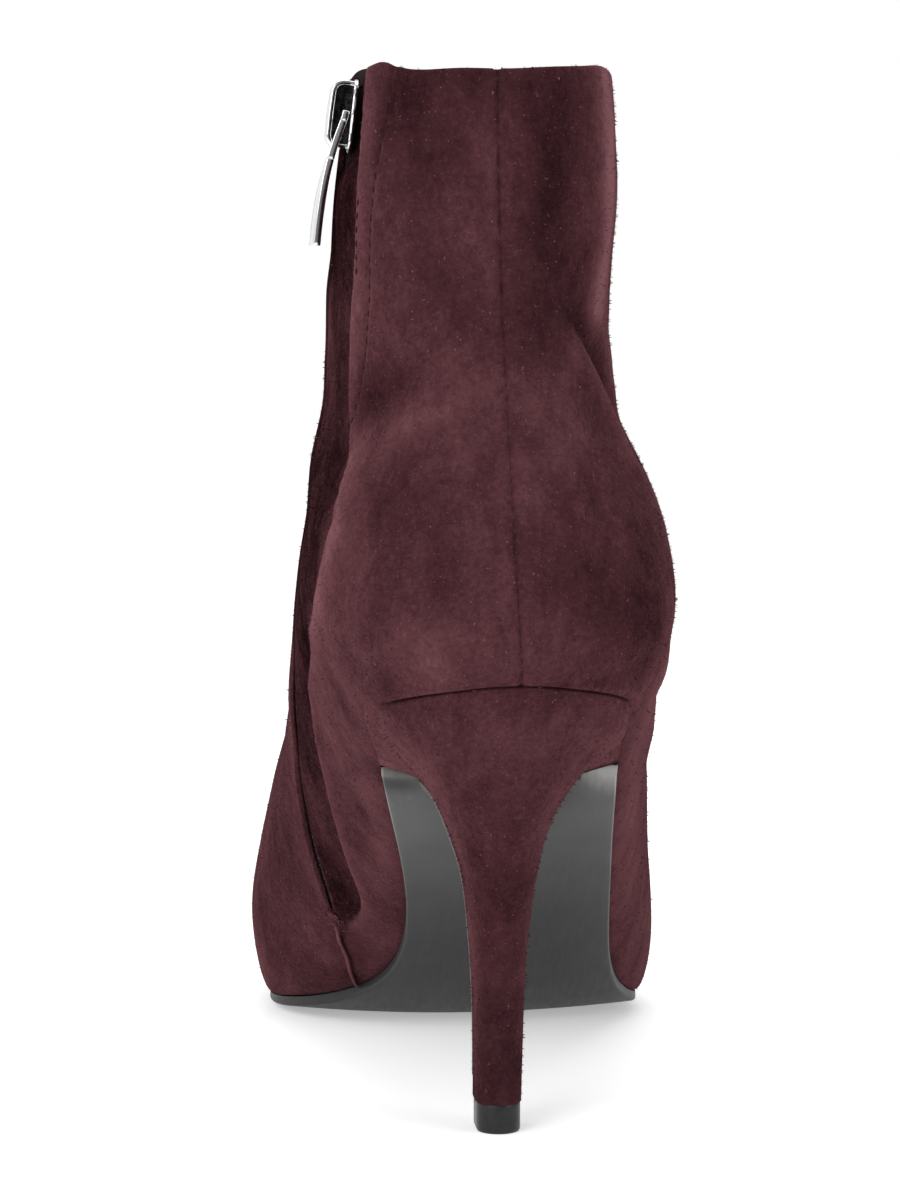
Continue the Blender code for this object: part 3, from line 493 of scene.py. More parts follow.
def near_line(points, line):
    """Distance of each point from a line of straight stretches, and how far along it the nearest place is."""
    line = np.array(line)
    best = np.full(points.shape[:-1], np.inf)
    along = np.zeros(points.shape[:-1])
    passed = 0.0
    for start, end in zip(line[:-1], line[1:]):
        step = end - start
        share = np.clip(((points - start) @ step) / (step @ step), 0, 1)
        distance = np.linalg.norm(points - start - share[..., None] * step, axis=-1)
        along = np.where(distance < best, passed + share * np.linalg.norm(step), along)
        best = np.minimum(best, distance)
        passed += np.linalg.norm(step)
    return best, along


def bump(distance, width):
    """A soft rounded rise of height 1 around distance 0."""
    return np.exp(-(distance / width) ** 2)


def ripple(points):
    """The slight unevenness of soft leather: a few crossed waves, between about -1 and 1."""
    waves = (
        ((0.21, 0.09, 0.13), 0.4),
        ((-0.11, 0.23, 0.17), 2.1),
        ((0.16, -0.19, 0.27), 4.0),
        ((0.05, 0.14, -0.34), 1.2),
    )
    total = sum(np.sin(points @ np.array(way) + start) for way, start in waves)
    return total / len(waves)


def crease_relief(grid):
    """Rise and tone of the soft creases, on leather that is slightly uneven everywhere, with a painted
    highlight on each ridge and painted shade in each hollow.
    """
    unevenness = 0.14
    start_share = 0.35
    painted_relief_light = 0.12
    rise = unevenness * ripple(grid)
    tone = np.zeros(grid.shape[:2])
    for _, height, width, line in CREASES:
        distance, along = near_line(grid, line)
        swell = height * bump(distance, width) * smooth(start_share + along / CREASE_START)
        rise += swell
        # painted highlight on the ridges, painted shade in the hollows
        tone += painted_relief_light * swell
    return rise, tone


def seam_relief(stations, from_seam):
    """Rise and tone of the back seam, drawn in unevenly between puffed edges with a faint painted highlight,
    and of the seat's pale edge, a painted highlight.
    """
    seam_wide = 0.32
    seam_deep = 0.36
    seam_dark = 0.16
    puff_at = 1.7
    puff_wide = 1.0
    puff_high = 0.14
    puff_highlight = 0.03
    slack_at = 61.0
    slack_long = 13.0
    slack_share = 0.5
    drawn_mean = 0.66
    drawn_wave = 0.34
    edge_at = 0.5
    edge_wide = 0.6
    edge_highlight = 0.16
    edge_start = 2.0
    edge_until = 11.0
    edge_fade = 7.0
    station = stations[:, None]
    on_back = station <= HEEL_BACK + SEAM_PAST
    uneven = drawn_mean + drawn_wave * np.sin(1.7 * station + 1.4 * np.sin(0.57 * station))
    drawn = uneven * (1 - slack_share * bump(station - slack_at, slack_long))
    seam = np.where(on_back, bump(from_seam, seam_wide) * drawn, 0)
    puff = np.where(on_back, bump(from_seam - puff_at, puff_wide), 0)
    sole_edge = np.array([sole_half(s, "med") for s in stations])[:, None]
    past_back = station - HEEL_BACK
    on_seat = smooth(past_back / edge_start) * (1 - smooth((past_back - edge_until) / edge_fade))
    seat_edge = on_seat * bump(from_seam - sole_edge - edge_at, edge_wide)
    rise = puff_high * puff - seam_deep * seam
    # painted highlights on the puffed edges and along the seat's edge
    tone = puff_highlight * puff - seam_dark * seam + edge_highlight * seat_edge
    return rise, tone


def band_relief(stations, behind_zip, from_stitch):
    """Rise and tone of the band behind the zip: sunk, with a ridge and a stitch groove. Its darkness is
    flattened nap with painted shade added, the ridge and the slit's edge near the zip's end have painted
    highlights, and the stitch groove is darker.
    """
    wobble_from = 118.0
    wobble_long = 14.0
    lift_from = 24.0
    lift_long = 16.0
    lift_share = 0.55
    ridge_at = 0.7
    groove_wide = 0.55
    groove_deep = 0.42
    groove_dark = 0.10
    puff_at = 1.6
    puff_wide = 1.2
    puff_high = 0.18
    band_edge_soft = 1.2
    highlight_at = 0.8
    painted_relief_light = 0.16
    end_from = 158.0
    end_long = 8.0
    end_at = 0.9
    end_wide = 0.5
    end_pale = 0.30
    station = stations[:, None]
    band = {name: np.array([band_size(name, min(s, ZIP_END)) for s in stations])[:, None]
            for name in BAND_COLUMNS[1:]}
    rear = np.arange(behind_zip.shape[1]) <= EDGE
    along_zip = smooth((ZIP_END - station) / ZIP_FADE)
    wobble = 0.30 * np.sin(2.3 * station) + 0.22 * np.sin(5.1 * station + 1.0)
    from_fold = band["fold"] - behind_zip + wobble * smooth((station - wobble_from) / wobble_long)
    lifted = lift_share * smooth((station - lift_from) / lift_long) * smooth(from_fold / band["fold"])
    sunk = band["sunk"] * smooth(from_fold / band["soft"] + 0.5) * (1 - lifted)
    ridge = band["ridge"] * bump(from_fold + ridge_at * band["ridge_wide"], band["ridge_wide"])
    pulled_in = 0.75 + 0.25 * np.sin(2.5 * station) * np.sin(0.9 * station)
    groove = bump(from_stitch, groove_wide) * pulled_in
    puff = bump(from_stitch + puff_at, puff_wide)
    in_band = smooth(from_fold / (band_edge_soft * band["soft"]) + 0.5)
    ridge_highlight = bump(from_fold + highlight_at * band["ridge_wide"], band["ridge_wide"])
    end_edge = smooth((station - end_from) / end_long) * bump(behind_zip - end_at, end_wide)
    rise = rear * (ridge - sunk) - groove_deep * groove + puff_high * puff
    # painted highlights on the ridge and on the slit's edge near the zip's end; the band's darkness is
    # flattened nap with painted shade added
    paler = painted_relief_light * ridge_highlight + end_pale * end_edge
    darker = band["dark"] * in_band + groove_dark * groove
    return along_zip * rise, along_zip * rear * (paler - darker)


def front_relief(stations, behind_zip):
    """Rise and tone in front of the zip: painted shade beside the shaft, with a raised edge further down that
    has a painted highlight.
    """
    shown_from = 122.0
    shown_long = 16.0
    roll_wide = 5.0
    roll_high = 0.6
    edge_wide = 0.8
    edge_highlight = 0.24
    shade_dark = 0.38
    shade_narrow = 3.5
    shade_more = 5.5
    shade_from = 92.0
    shade_long = 25.0
    station = stations[:, None]
    in_front = smooth((ZIP_END - station) / ZIP_FADE) * np.where(behind_zip < 0, 1.0, 0.0)
    shown = smooth((station - shown_from) / shown_long)
    shade_wide = shade_narrow + shade_more * smooth((station - shade_from) / shade_long)
    rise = roll_high * shown * bump(behind_zip, roll_wide)
    # painted highlight on the raised edge, painted shade beside the shaft
    paler = edge_highlight * shown * bump(behind_zip, edge_wide)
    darker = shade_dark * (1 - shown) * bump(behind_zip, shade_wide)
    return in_front * rise, in_front * (paler - darker)


def upper_relief(grid, stations, from_seam, behind_zip, from_stitch):
    """How far each point of the upper stands out, and its tone: painted highlights on ridges and painted
    shade in hollows, darker where the nap is flattened with painted shade added, and patches of brushed nap
    and of painted light.
    """
    parts = (
        crease_relief(grid),
        seam_relief(stations, from_seam),
        band_relief(stations, behind_zip, from_stitch),
        front_relief(stations, behind_zip),
    )
    rise = sum(part[0] for part in parts)
    tone = sum(part[1] for part in parts)
    for _, amount, width, line in NAP_AND_PAINTED_LIGHT:
        tone += amount * bump(near_line(grid, line)[0], width)
    return rise, tone


def zip_closing(stations):
    """1 along the zip, going down to 0 at its lower end."""
    return np.clip((ZIP_END - stations) / CURL_END, 0, 1)


def rounded(edge, beside, facing, size, most, across, deep):
    """Columns that round an edge over, away from the points beside it and down from its face."""
    away = edge - beside
    away /= np.maximum(np.linalg.norm(away, axis=1, keepdims=True), TINY)
    made = []
    for turn in np.linspace(0, math.pi * most, CURL_STEPS + 1)[1:]:
        over = math.sin(turn) * across * away - (1 - math.cos(turn)) * deep * facing
        made.append(edge + size[:, None] * over)
    return np.stack(made, 1)


def zip_curls(skin, out, stations, col, beside):
    """Columns that round a zip edge over into the slit, away from the column beside it."""
    most = 0.62
    across = 0.55
    deep = 1.25
    size = CURL * zip_closing(stations)
    return rounded(skin[:, col], skin[:, beside], out[:, col], size, most, across, deep)


def sole_curls(skin, out, stations, last):
    """Columns that round the upper's lower edge in under it, on the first or the last column's side."""
    most = 0.6
    across = 0.3
    deep = 1.3
    apart = 0.3
    order = skin[:, ::-1] if last else skin
    facing = (out[:, ::-1] if last else out)[:, 0]
    beside = np.array([row[int(np.argmax(np.linalg.norm(row - row[0], axis=1) > apart))] for row in order])
    size = SOLE_CURL * smooth((stations - HEEL_BACK) / SEAT_START)
    made = rounded(order[:, 0], beside, facing, size, most, across, deep)
    return made if last else made[:, ::-1]


def grid_faces(rows, columns, start=0, skip=(), turned=False):
    """Quads of a grid of points numbered row by row, less the columns in skip."""
    faces = []
    for row in range(rows - 1):
        for col in range(columns - 1):
            if col in skip:
                continue
            a = start + row * columns + col
            face = (a, a + 1, a + columns + 1, a + columns)
            faces.append(face[::-1] if turned else face)
    return faces


def add_piece(name, points, faces, material, slot, stands_for=(), body="boot", sharp=SHARP, **marks):
    """Makes one visible piece from points in millimetres, with named marks on its points for its material."""
    mesh = bpy.data.meshes.new(name)
    mesh.from_pydata((np.asarray(points, float) * MM).tolist(), [], faces)
    for mark, values in marks.items():
        layer = mesh.attributes.new(mark, "FLOAT", "POINT")
        layer.data.foreach_set("value", np.asarray(values, np.float32).ravel())
    shape = bmesh.new()
    shape.from_mesh(mesh)
    bmesh.ops.remove_doubles(shape, verts=shape.verts, dist=SAME_PLACE * MM)
    bmesh.ops.dissolve_degenerate(shape, edges=shape.edges, dist=NO_LENGTH * MM)
    shape.to_mesh(mesh)
    shape.free()
    mesh.shade_smooth()
    mesh.set_sharp_from_angle(angle=sharp)
    mesh.materials.append(material)
    piece = bpy.data.objects.new(name, mesh)
    bpy.context.scene.collection.objects.link(piece)
    settle(piece, stands_for, body)
    return piece


def settle(piece, stands_for=(), body="boot"):
    """Puts a finished piece on its body and hides the solids that it stands for."""
    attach(piece, body)
    if stands_for:
        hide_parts(*stands_for)


class NodeMaker:
    """Adds nodes to a node tree and joins them."""

    def __init__(self, tree):
        self.nodes = tree.nodes
        self.links = tree.links

    def node(self, kind, settings=None, **inputs):
        """Adds a node with settings, and sets or joins its inputs, by name or as i0, i1 by place."""
        made = self.nodes.new(kind)
        for key, value in (settings or {}).items():
            setattr(made, key, value)
        for key, value in inputs.items():
            numbered = key[0] == "i" and key[1:].isdigit()
            self.put(made.inputs[int(key[1:]) if numbered else key.replace("_", " ")], value)
        return made

    def put(self, socket, value):
        """Joins an output to a socket, or sets the socket's value."""
        if isinstance(value, bpy.types.NodeSocket):
            self.links.new(value, socket)
        else:
            socket.default_value = value


class Surface(NodeMaker):
    """A procedural material in the making: its nodes and its main shader."""

    def __init__(self, name):
        self.material = bpy.data.materials.new(name)
        self.material.use_nodes = True
        super().__init__(self.material.node_tree)
        self.shader = self.nodes["Principled BSDF"]

    def finish(self, **inputs):
        """Sets the main shader's inputs, and gives the finished material."""
        for key, value in inputs.items():
            self.put(self.shader.inputs[key.replace("_", " ")], value)
        return self.material

    def places(self):
        """The piece's own coordinates, in metres."""
        return self.node("ShaderNodeTexCoord").outputs["Object"]

    def mark(self, name):
        """A mark left on the piece's points."""
        return self.node("ShaderNodeAttribute", {"attribute_name": name}).outputs["Fac"]

    def noise(self, places, scale, detail=2.0, roughness=0.55):
        """Cloudy noise, about 0 to 1."""
        return self.node("ShaderNodeTexNoise", Vector=places, Scale=scale, Detail=detail,
                         Roughness=roughness).outputs["Fac"]

    def stretched(self, places, size):
        """Coordinates drawn out along some axes."""
        return self.node("ShaderNodeMapping", Vector=places, Scale=size).outputs["Vector"]

    def sum(self, first, second):
        """Two values added."""
        return self.node("ShaderNodeMath", {"operation": "ADD"}, i0=first, i1=second).outputs[0]

    def scaled(self, value, low, high):
        """A value from 0 to 1 taken to the range from low to high."""
        made = self.node("ShaderNodeMapRange", {"clamp": False}, Value=value, To_Min=low, To_Max=high)
        return made.outputs[0]

    def window(self, value, low, high):
        """0 below low, 1 above high, and between in between."""
        return self.node("ShaderNodeMapRange", Value=value, From_Min=low, From_Max=high).outputs[0]

    def ramp(self, value, stops):
        """Colours for a value, given as (place, colour) stops."""
        made = self.node("ShaderNodeValToRGB", Fac=value)
        line = made.color_ramp
        while len(line.elements) < len(stops):
            line.elements.new(1.0)
        for element, (place, colour) in zip(line.elements, stops):
            element.position = place
            element.color = (*colour, 1)
        return made.outputs["Color"]

    def blend(self, share, first, second):
        """One colour going over to another."""
        made = self.node("ShaderNodeMix", {"data_type": "RGBA"}, i0=share, i6=first, i7=second)
        return made.outputs[2]

    def raised(self, height, strength, distance):
        """A bumped normal."""
        made = self.node("ShaderNodeBump", Height=height, Strength=strength, Distance=distance)
        return made.outputs["Normal"]


def suede():
    """Dark plum suede: mottled nap, brushed lighter and darker, with pale specks of loose fibre."""
    s = Surface("suede")
    places = s.places()
    broad = s.noise(places, 30.0, 2.0, 0.5)
    brushed = s.noise(s.stretched(places, (1.0, 1.0, 0.55)), 105.0, 4.0, 0.62)
    mottle = s.noise(s.stretched(places, (1.0, 1.0, 0.7)), 420.0, 3.0, 0.6)
    grain = s.noise(places, 1100.0, 2.0, 0.6)
    nap = s.noise(places, 2600.0, 2.0, 0.6)
    value = s.sum(s.scaled(broad, 0.34, 0.66), s.scaled(brushed, -0.29, 0.29))
    value = s.sum(value, s.scaled(mottle, -0.15, 0.15))
    value = s.sum(value, s.sum(s.scaled(grain, -0.17, 0.17), s.scaled(nap, -0.13, 0.13)))
    # the tone mark adds the pieces' painted light and shade, as well as their brushed and pressed nap
    value = s.sum(value, s.mark("tone"))
    colour = s.ramp(value, SUEDE_TONES)
    specks = s.noise(places, 2100.0, 1.0, 0.4)
    colour = s.blend(s.window(specks, 0.71, 0.80), colour, (*FIBRE_COLOUR, 1))
    height = s.sum(nap, s.scaled(grain, 0.0, 1.2))
    bloom = s.scaled(s.window(value, 0.1, 0.55), 0.0, 0.13)
    return s.finish(Base_Color=colour, Roughness=1.0, Specular_IOR_Level=0.0, Sheen_Weight=bloom,
                    Sheen_Roughness=0.45, Sheen_Tint=(*BLOOM_COLOUR, 1),
                    Normal=s.raised(height, 0.45, 0.0005))


def sole_leather():
    """Smooth grey sole leather with faint long scuffs, toned by a mark that holds its painted highlights and
    shade, paler at its edge.
    """
    s = Surface("sole_leather")
    places = s.places()
    cloud = s.noise(places, 45.0, 3.0, 0.5)
    scuffs = s.noise(s.stretched(places, (1.0, 0.16, 0.16)), 900.0, 3.0, 0.6)
    value = s.sum(s.scaled(cloud, 0.3, 0.7), s.scaled(scuffs, -0.08, 0.08))
    # the mark holds the sole's painted highlights and shade along with its base tone
    value = s.sum(value, s.mark("rubbed"))
    return s.finish(Base_Color=s.ramp(value, SOLE_TONES), Roughness=s.scaled(scuffs, 0.42, 0.62),
                    Specular_IOR_Level=0.35, Normal=s.raised(scuffs, 0.12, 0.0003))


def heel_tip():
    """Hard dark plastic with a dull gloss."""
    s = Surface("heel_tip")
    wear = s.noise(s.places(), 700.0, 3.0, 0.6)
    colour = s.ramp(wear, ((0.2, (0.008, 0.008, 0.009)), (0.8, (0.018, 0.019, 0.019))))
    return s.finish(Base_Color=colour, Roughness=s.scaled(wear, 0.3, 0.45), Specular_IOR_Level=0.22,
                    Coat_Weight=0.08, Coat_Roughness=0.2, Normal=s.raised(wear, 0.06, 0.0003))


def chrome():
    """Polished chrome with the finest of scratches."""
    s = Surface("chrome")
    scratch = s.noise(s.stretched(s.places(), (1.0, 1.0, 0.1)), 3000.0, 2.0, 0.5)
    colour = s.ramp(scratch, ((0.3, (0.66, 0.66, 0.67)), (0.7, (0.78, 0.78, 0.79))))
    return s.finish(Base_Color=colour, Metallic=1.0, Roughness=s.scaled(scratch, 0.07, 0.16))


def black_chrome():
    """Dark polished metal."""
    s = Surface("black_chrome")
    wear = s.noise(s.places(), 1500.0, 2.0, 0.5)
    colour = s.ramp(wear, ((0.35, (0.010, 0.010, 0.011)), (0.7, (0.035, 0.035, 0.036))))
    return s.finish(Base_Color=colour, Metallic=1.0, Roughness=s.scaled(wear, 0.12, 0.35),
                    Normal=s.raised(wear, 0.3, 0.0003))


def zip_cloth():
    """Nearly black woven tape."""
    s = Surface("zip_cloth")
    weave = s.noise(s.stretched(s.places(), (1.0, 1.0, 0.4)), 2600.0, 1.0, 0.5)
    colour = s.ramp(weave, ((0.3, (0.012, 0.0072, 0.0082)), (0.7, (0.030, 0.018, 0.020))))
    return s.finish(Base_Color=colour, Roughness=0.9, Specular_IOR_Level=0.08,
                    Normal=s.raised(weave, 0.5, 0.0004))


def zip_metal():
    """Dark metal of the zip's teeth."""
    s = Surface("zip_metal")
    wear = s.noise(s.places(), 1800.0, 2.0, 0.5)
    colour = s.ramp(wear, ((0.3, (0.05, 0.05, 0.052)), (0.7, (0.10, 0.10, 0.10))))
    return s.finish(Base_Color=colour, Metallic=1.0, Roughness=s.scaled(wear, 0.3, 0.45))


def thread(name, dark, pale):
    """Twisted sewing thread between two colours."""
    s = Surface(name)
    twist = s.noise(s.places(), 3200.0, 2.0, 0.5)
    colour = s.ramp(twist, ((0.3, dark), (0.7, pale)))
    return s.finish(Base_Color=colour, Roughness=0.9, Specular_IOR_Level=0.05,
                    Normal=s.raised(twist, 0.4, 0.0002))


def lining_leather():
    """Smooth dark lining leather with a fine grain."""
    s = Surface("lining_leather")
    places = s.places()
    grain = s.noise(places, 1500.0, 2.0, 0.5)
    cloud = s.noise(places, 50.0, 2.0, 0.5)
    colour = s.ramp(s.sum(s.scaled(cloud, 0.2, 0.8), s.scaled(grain, -0.1, 0.1)),
                    ((0.2, (0.030, 0.026, 0.025)), (0.8, (0.062, 0.054, 0.052))))
    return s.finish(Base_Color=colour, Roughness=0.6, Normal=s.raised(grain, 0.25, 0.0003))


def widened(values, at_zip=0.0, at_sole=0.0):
    """Values on the skin's columns carried on to the columns of its rounded edges, less a little there."""
    spans = [np.repeat(values[:, :1], CURL_STEPS, 1) - at_sole, values[:, :EDGE + 1]]
    spans += [np.repeat(values[:, col:col + 1], CURL_STEPS, 1) - at_zip for col in (EDGE, EDGE + 1)]
    spans += [values[:, EDGE + 1:], np.repeat(values[:, -1:], CURL_STEPS, 1) - at_sole]
    return np.concatenate(spans, 1)


def edge_shade(stations):
    """How much painted shade darkens the rounded edges at the zip and at the sole, turning to a painted
    highlight on the zip's edges towards its lower end.
    """
    zip_dark = 0.3
    zip_pale = 0.5
    pale_from = 140.0
    pale_long = 12.0
    sole_dark = 0.16
    flank_from = 8.0
    flank_long = 6.0
    # painted shade on the rounded edges, a painted highlight on the zip's edges lower down, and no painted
    # shade along the heel's flank
    at_zip = (zip_dark - zip_pale * smooth((stations - pale_from) / pale_long)) * zip_closing(stations)
    past_seat = smooth((stations - HEEL_BACK - flank_from) / flank_long)
    on_flank = past_seat * (1 - smooth((stations - HEEL_BREAST) / flank_long))
    at_sole = sole_dark * smooth((stations - HEEL_BACK) / SEAT_START) * (1 - on_flank)
    return at_zip[:, None], at_sole[:, None]


def nap_thickness(stations, behind_zip):
    """How thickly the nap's hairs stand: none by the pull, few on the lower quarters, where the nap wears
    off.
    """
    pull_down_to = 52.0
    pull_wide = 16.0
    worn_share = 0.75
    worn_from = 2.0
    worn_long = 14.0
    away_from_pull = 1.0 - (stations < pull_down_to)[:, None] * (np.abs(behind_zip) < pull_wide)
    worn_off = worn_share * smooth((stations - HEEL_BACK - worn_from) / worn_long)[:, None]
    return away_from_pull * (1 - worn_off)


def collar_rim(sheet, facing):
    """Rows of the collar's fold, from its turned-in flap up over the rounded edge."""
    rim_steps = 9
    up = sheet[0] - sheet[2]
    up /= np.linalg.norm(up, axis=1, keepdims=True)
    core = sheet[0] - RIM_ROUND * facing
    rim = [core - (RIM_ROUND + inward) * facing - deep * up for deep, inward in RIM_FLAP]
    for turn in np.linspace(math.pi, 0, rim_steps)[:-1]:
        rim.append(core + RIM_ROUND * (math.cos(turn) * facing + math.sin(turn) * up))
    return np.array(rim)


def carried(values, before, after):
    """Rows of values, with the first and the last repeated for rows added at the two ends."""
    return np.concatenate([np.repeat(values[:1], before, 0), values, np.repeat(values[-1:], after, 0)])


def between(stations, first, last):
    """Rows whose stations lie between two."""
    return [row for row, station in enumerate(stations) if first < station < last]


def collar_wave(grid, stations):
    """How far the collar's edge and what is just below it stand above the sections' own line."""
    lift = sum(height * bump(np.linalg.norm(grid[..., :2] - place, axis=-1), width)
               for _, height, width, place in COLLAR_WAVE)
    return lift * np.clip(1 - stations / COLLAR_DEEP, 0, 1)[:, None] ** 2


def make_upper(material, lining):
    """The suede upper with its folded collar, rounded edges and closed toe, and the lining inside it."""
    stations = upper_stations()
    rings = [upper_ring(station) for station in stations]
    grid, from_seam, behind_zip, from_stitch = (np.array(part) for part in zip(*rings))
    rise, tone = upper_relief(grid, stations, from_seam, behind_zip, from_stitch)
    skin = grid + rise[..., None] * upper_normals(grid, stations)
    skin[..., 2] += collar_wave(grid, stations)
    out = upper_normals(skin, stations)
    sheet = np.concatenate([
        sole_curls(skin, out, stations, False),
        skin[:, :EDGE + 1],
        zip_curls(skin, out, stations, EDGE, EDGE - 1),
        zip_curls(skin, out, stations, EDGE + 1, EDGE + 2)[:, ::-1],
        skin[:, EDGE + 1:],
        sole_curls(skin, out, stations, True),
    ], 1)
    shade = widened(tone, *edge_shade(stations))
    fuzz = widened(nap_thickness(stations, behind_zip))
    rim = collar_rim(sheet, widened(out)[0])
    middle = skin[-1].mean(0)
    cap = [sheet[-1] + (middle - sheet[-1]) * share + (0, ahead, 0) for share, ahead in TOE_CAP]
    sheet = np.concatenate([rim, sheet, np.array(cap)])
    rows, columns, _ = sheet.shape
    slit = EDGE + 2 * CURL_STEPS
    faces = grid_faces(rows, columns, skip=(slit,))
    marks = {name: carried(values, len(rim), len(cap)) for name, values in (("tone", shade), ("fuzz", fuzz))}
    cover = add_piece("suede_upper", sheet.reshape(-1, 3), faces, material, "suede", ("upper",), **marks)
    make_lining(stations, skin, out, lining)
    return cover, stations, skin, out


def make_lining(stations, skin, out, material):
    """The lining: a coarser sheet inside the upper, facing inwards."""
    first = 5.0
    short_of_tip = 14.0
    row_step = 3
    col_step = 2
    rows_kept = between(stations, first, STATION["tip"] - short_of_tip)[::row_step]
    last_col = skin.shape[1] - 1
    cols_kept = [*range(0, EDGE, col_step), EDGE, EDGE + 1, *range(EDGE + 3, last_col, col_step), last_col]
    inner = (skin - LINING_AT * out)[np.ix_(rows_kept, cols_kept)]
    rows, columns, _ = inner.shape
    faces = grid_faces(rows, columns, skip=(cols_kept.index(EDGE),), turned=True)
    add_piece("lining", inner.reshape(-1, 3), faces, material, "lining")


def bottom_line(station):
    """The last's bottom line at a station: its sizes, its point and its downward normal in the Y-Z plane."""
    reach = 0.5
    ahead = section(station + reach)
    behind = section(station - reach)
    here = section(station)
    y_step = ahead["back_y"] - behind["back_y"]
    z_step = ahead["back_z"] - behind["back_z"]
    size = math.hypot(y_step, z_step)
    return here, np.array([here["back_y"], here["back_z"]]), np.array([z_step, -y_step]) / size


def heel_shares(round_steps=26, flank_steps=16):
    """Shares of the way from the heel's back to its breast, closer together round the back."""
    round_share = HEEL_ROUND / HEEL_FRONT
    turn = np.linspace(0, math.pi / 2, round_steps + 1)
    flank = np.linspace(round_share, 1, flank_steps + 1)[1:]
    return np.concatenate([round_share * (1 - np.cos(turn)), flank])


def heel_half(wide, front_wide, share):
    """Half-width of a heel ring: an elliptic back, then flanks that run in to the breast."""
    round_share = HEEL_ROUND / HEEL_FRONT
    if share <= round_share:
        return wide * math.sqrt(1 - (1 - share / round_share) ** 2)
    past = (share - round_share) / (1 - round_share)
    return wide + (front_wide - wide) * float(smooth(past))


def heel_sizes(level):
    """Sizes of a heel ring, where level 0 is the cup under the seat and the last is on the top piece."""
    knots = np.arange(len(HEEL_RINGS), dtype=float)
    return {name: float(spline(knots, column(name, HEEL_RINGS, HEEL_COLUMNS), level))
            for name in HEEL_COLUMNS}


def heel_ring(level):
    """Points round one heel ring, from the left of the breast round the back to its right."""
    sizes = heel_sizes(level)
    left = []
    right = []
    for share in heel_shares():
        half = heel_half(sizes["wide"], sizes["front_wide"], share)
        y = sizes["back_y"] + (sizes["front_y"] - sizes["back_y"]) * share - HEEL_TIP_Y
        z = sizes["back_z"] + (sizes["front_z"] - sizes["back_z"]) * share
        left.append((sizes["centre_x"] - half, y, z))
        right.append((sizes["centre_x"] + half, y, z))
    return np.array(left[::-1] + right[1:])


def seat_ring():
    """Points round the heel's top, which follows the sole edge just under the upper."""
    left = []
    right = []
    for share in heel_shares():
        here, centre, down = bottom_line(HEEL_BACK + share * HEEL_FRONT)
        y, z = centre + GAP * down
        left.append((here["centre_x"] - max(here["sole_med"] - GAP, 0), y, z))
        right.append((here["centre_x"] + max(here["sole_lat"] - GAP, 0), y, z))
    return np.array(left[::-1] + right[1:])


def closed_rings(rings):
    """Points and faces of a solid through closed rings, capped at both ends."""
    rings = np.array(rings)
    levels, count, _ = rings.shape
    faces = []
    for level in range(levels - 1):
        for i in range(count):
            a = level * count + i
            b = level * count + (i + 1) % count
            faces.append((a, a + count, b + count, b))
    faces.append(list(range(count)))
    faces.append([(levels - 1) * count + i for i in range(count)][::-1])
    return rings.reshape(-1, 3), faces


def lapped(skin, out, stations, reach, lift):
    """Places on the upper's inner side, a reach above its lower edge and a lift out of it, along the heel."""
    shorter = 0.92
    shorter_from = 0.45
    shorter_long = 0.5
    spots = []
    for share in heel_shares():
        station = HEEL_BACK + share * HEEL_FRONT
        here = reach * (1 - shorter * float(smooth((share - shorter_from) / shorter_long)))
        after = int(np.clip(np.searchsorted(stations, station), 1, len(stations) - 1))
        ahead = (station - stations[after - 1]) / (stations[after] - stations[after - 1])
        pair = []
        for row in (after - 1, after):
            run = lengths(skin[row, :EDGE])
            normal = out[row, int(np.searchsorted(run, here))]
            pair.append(walk(skin[row, :EDGE], [here])[0] + lift * normal)
        spots.append(pair[0] + (pair[1] - pair[0]) * ahead)
    return np.array(spots)


def grown(ring, across, along):
    """A ring made larger or smaller about its middle, seen from above."""
    middle = ring.mean(0)
    return middle + (ring - middle) * (across, along, 1)


def heel_sheet(skin, out, stations):
    """Rings of the heel's cover, from its lap on the upper to its foot, and how far each is on a flank."""
    seat_steps = 22
    stem_steps = 110
    round_back = 9.0
    under_share = 0.990
    lap_wide = 1.025
    tuck_share = 0.95
    tuck_up = 1.3
    foot_share = 0.94
    foot_down = 0.25
    whole = [seat_ring()] + [heel_ring(level) for level in range(len(HEEL_RINGS))]
    knots = np.arange(len(whole), dtype=float)
    whole = np.array(whole).reshape(len(whole), -1)
    levels = np.concatenate([np.linspace(0, 1, seat_steps), np.linspace(1, knots[-1], stem_steps)[1:]])
    rings = np.stack([spline(knots, whole[:, i], levels) for i in range(whole.shape[1])], 1)
    rings = rings.reshape(len(levels), -1, 3)
    seat = rings[0].copy()
    flank = smooth((seat[:, 1] - seat[:, 1].min() - round_back) / round_back)[:, None]
    under = grown(seat, under_share, under_share)
    rings[0] = under + flank * (grown(seat, lap_wide, 1.0) + (0, 0, GAP) - under)
    tucked = grown(seat, tuck_share, tuck_share) + (0, 0, tuck_up)
    lap = []
    for reach, lift in HEEL_LAP:
        ring = tucked.copy()
        inner = lapped(skin, out, stations, reach, lift)[::-1]
        ring[:len(inner)] += flank[:len(inner)] * (inner - ring[:len(inner)])
        lap.append(ring)
    turned_in = grown(rings[-1], foot_share, foot_share) - (0, 0, foot_down)
    return np.concatenate([np.array(lap), rings, turned_in[None]]), flank.ravel()


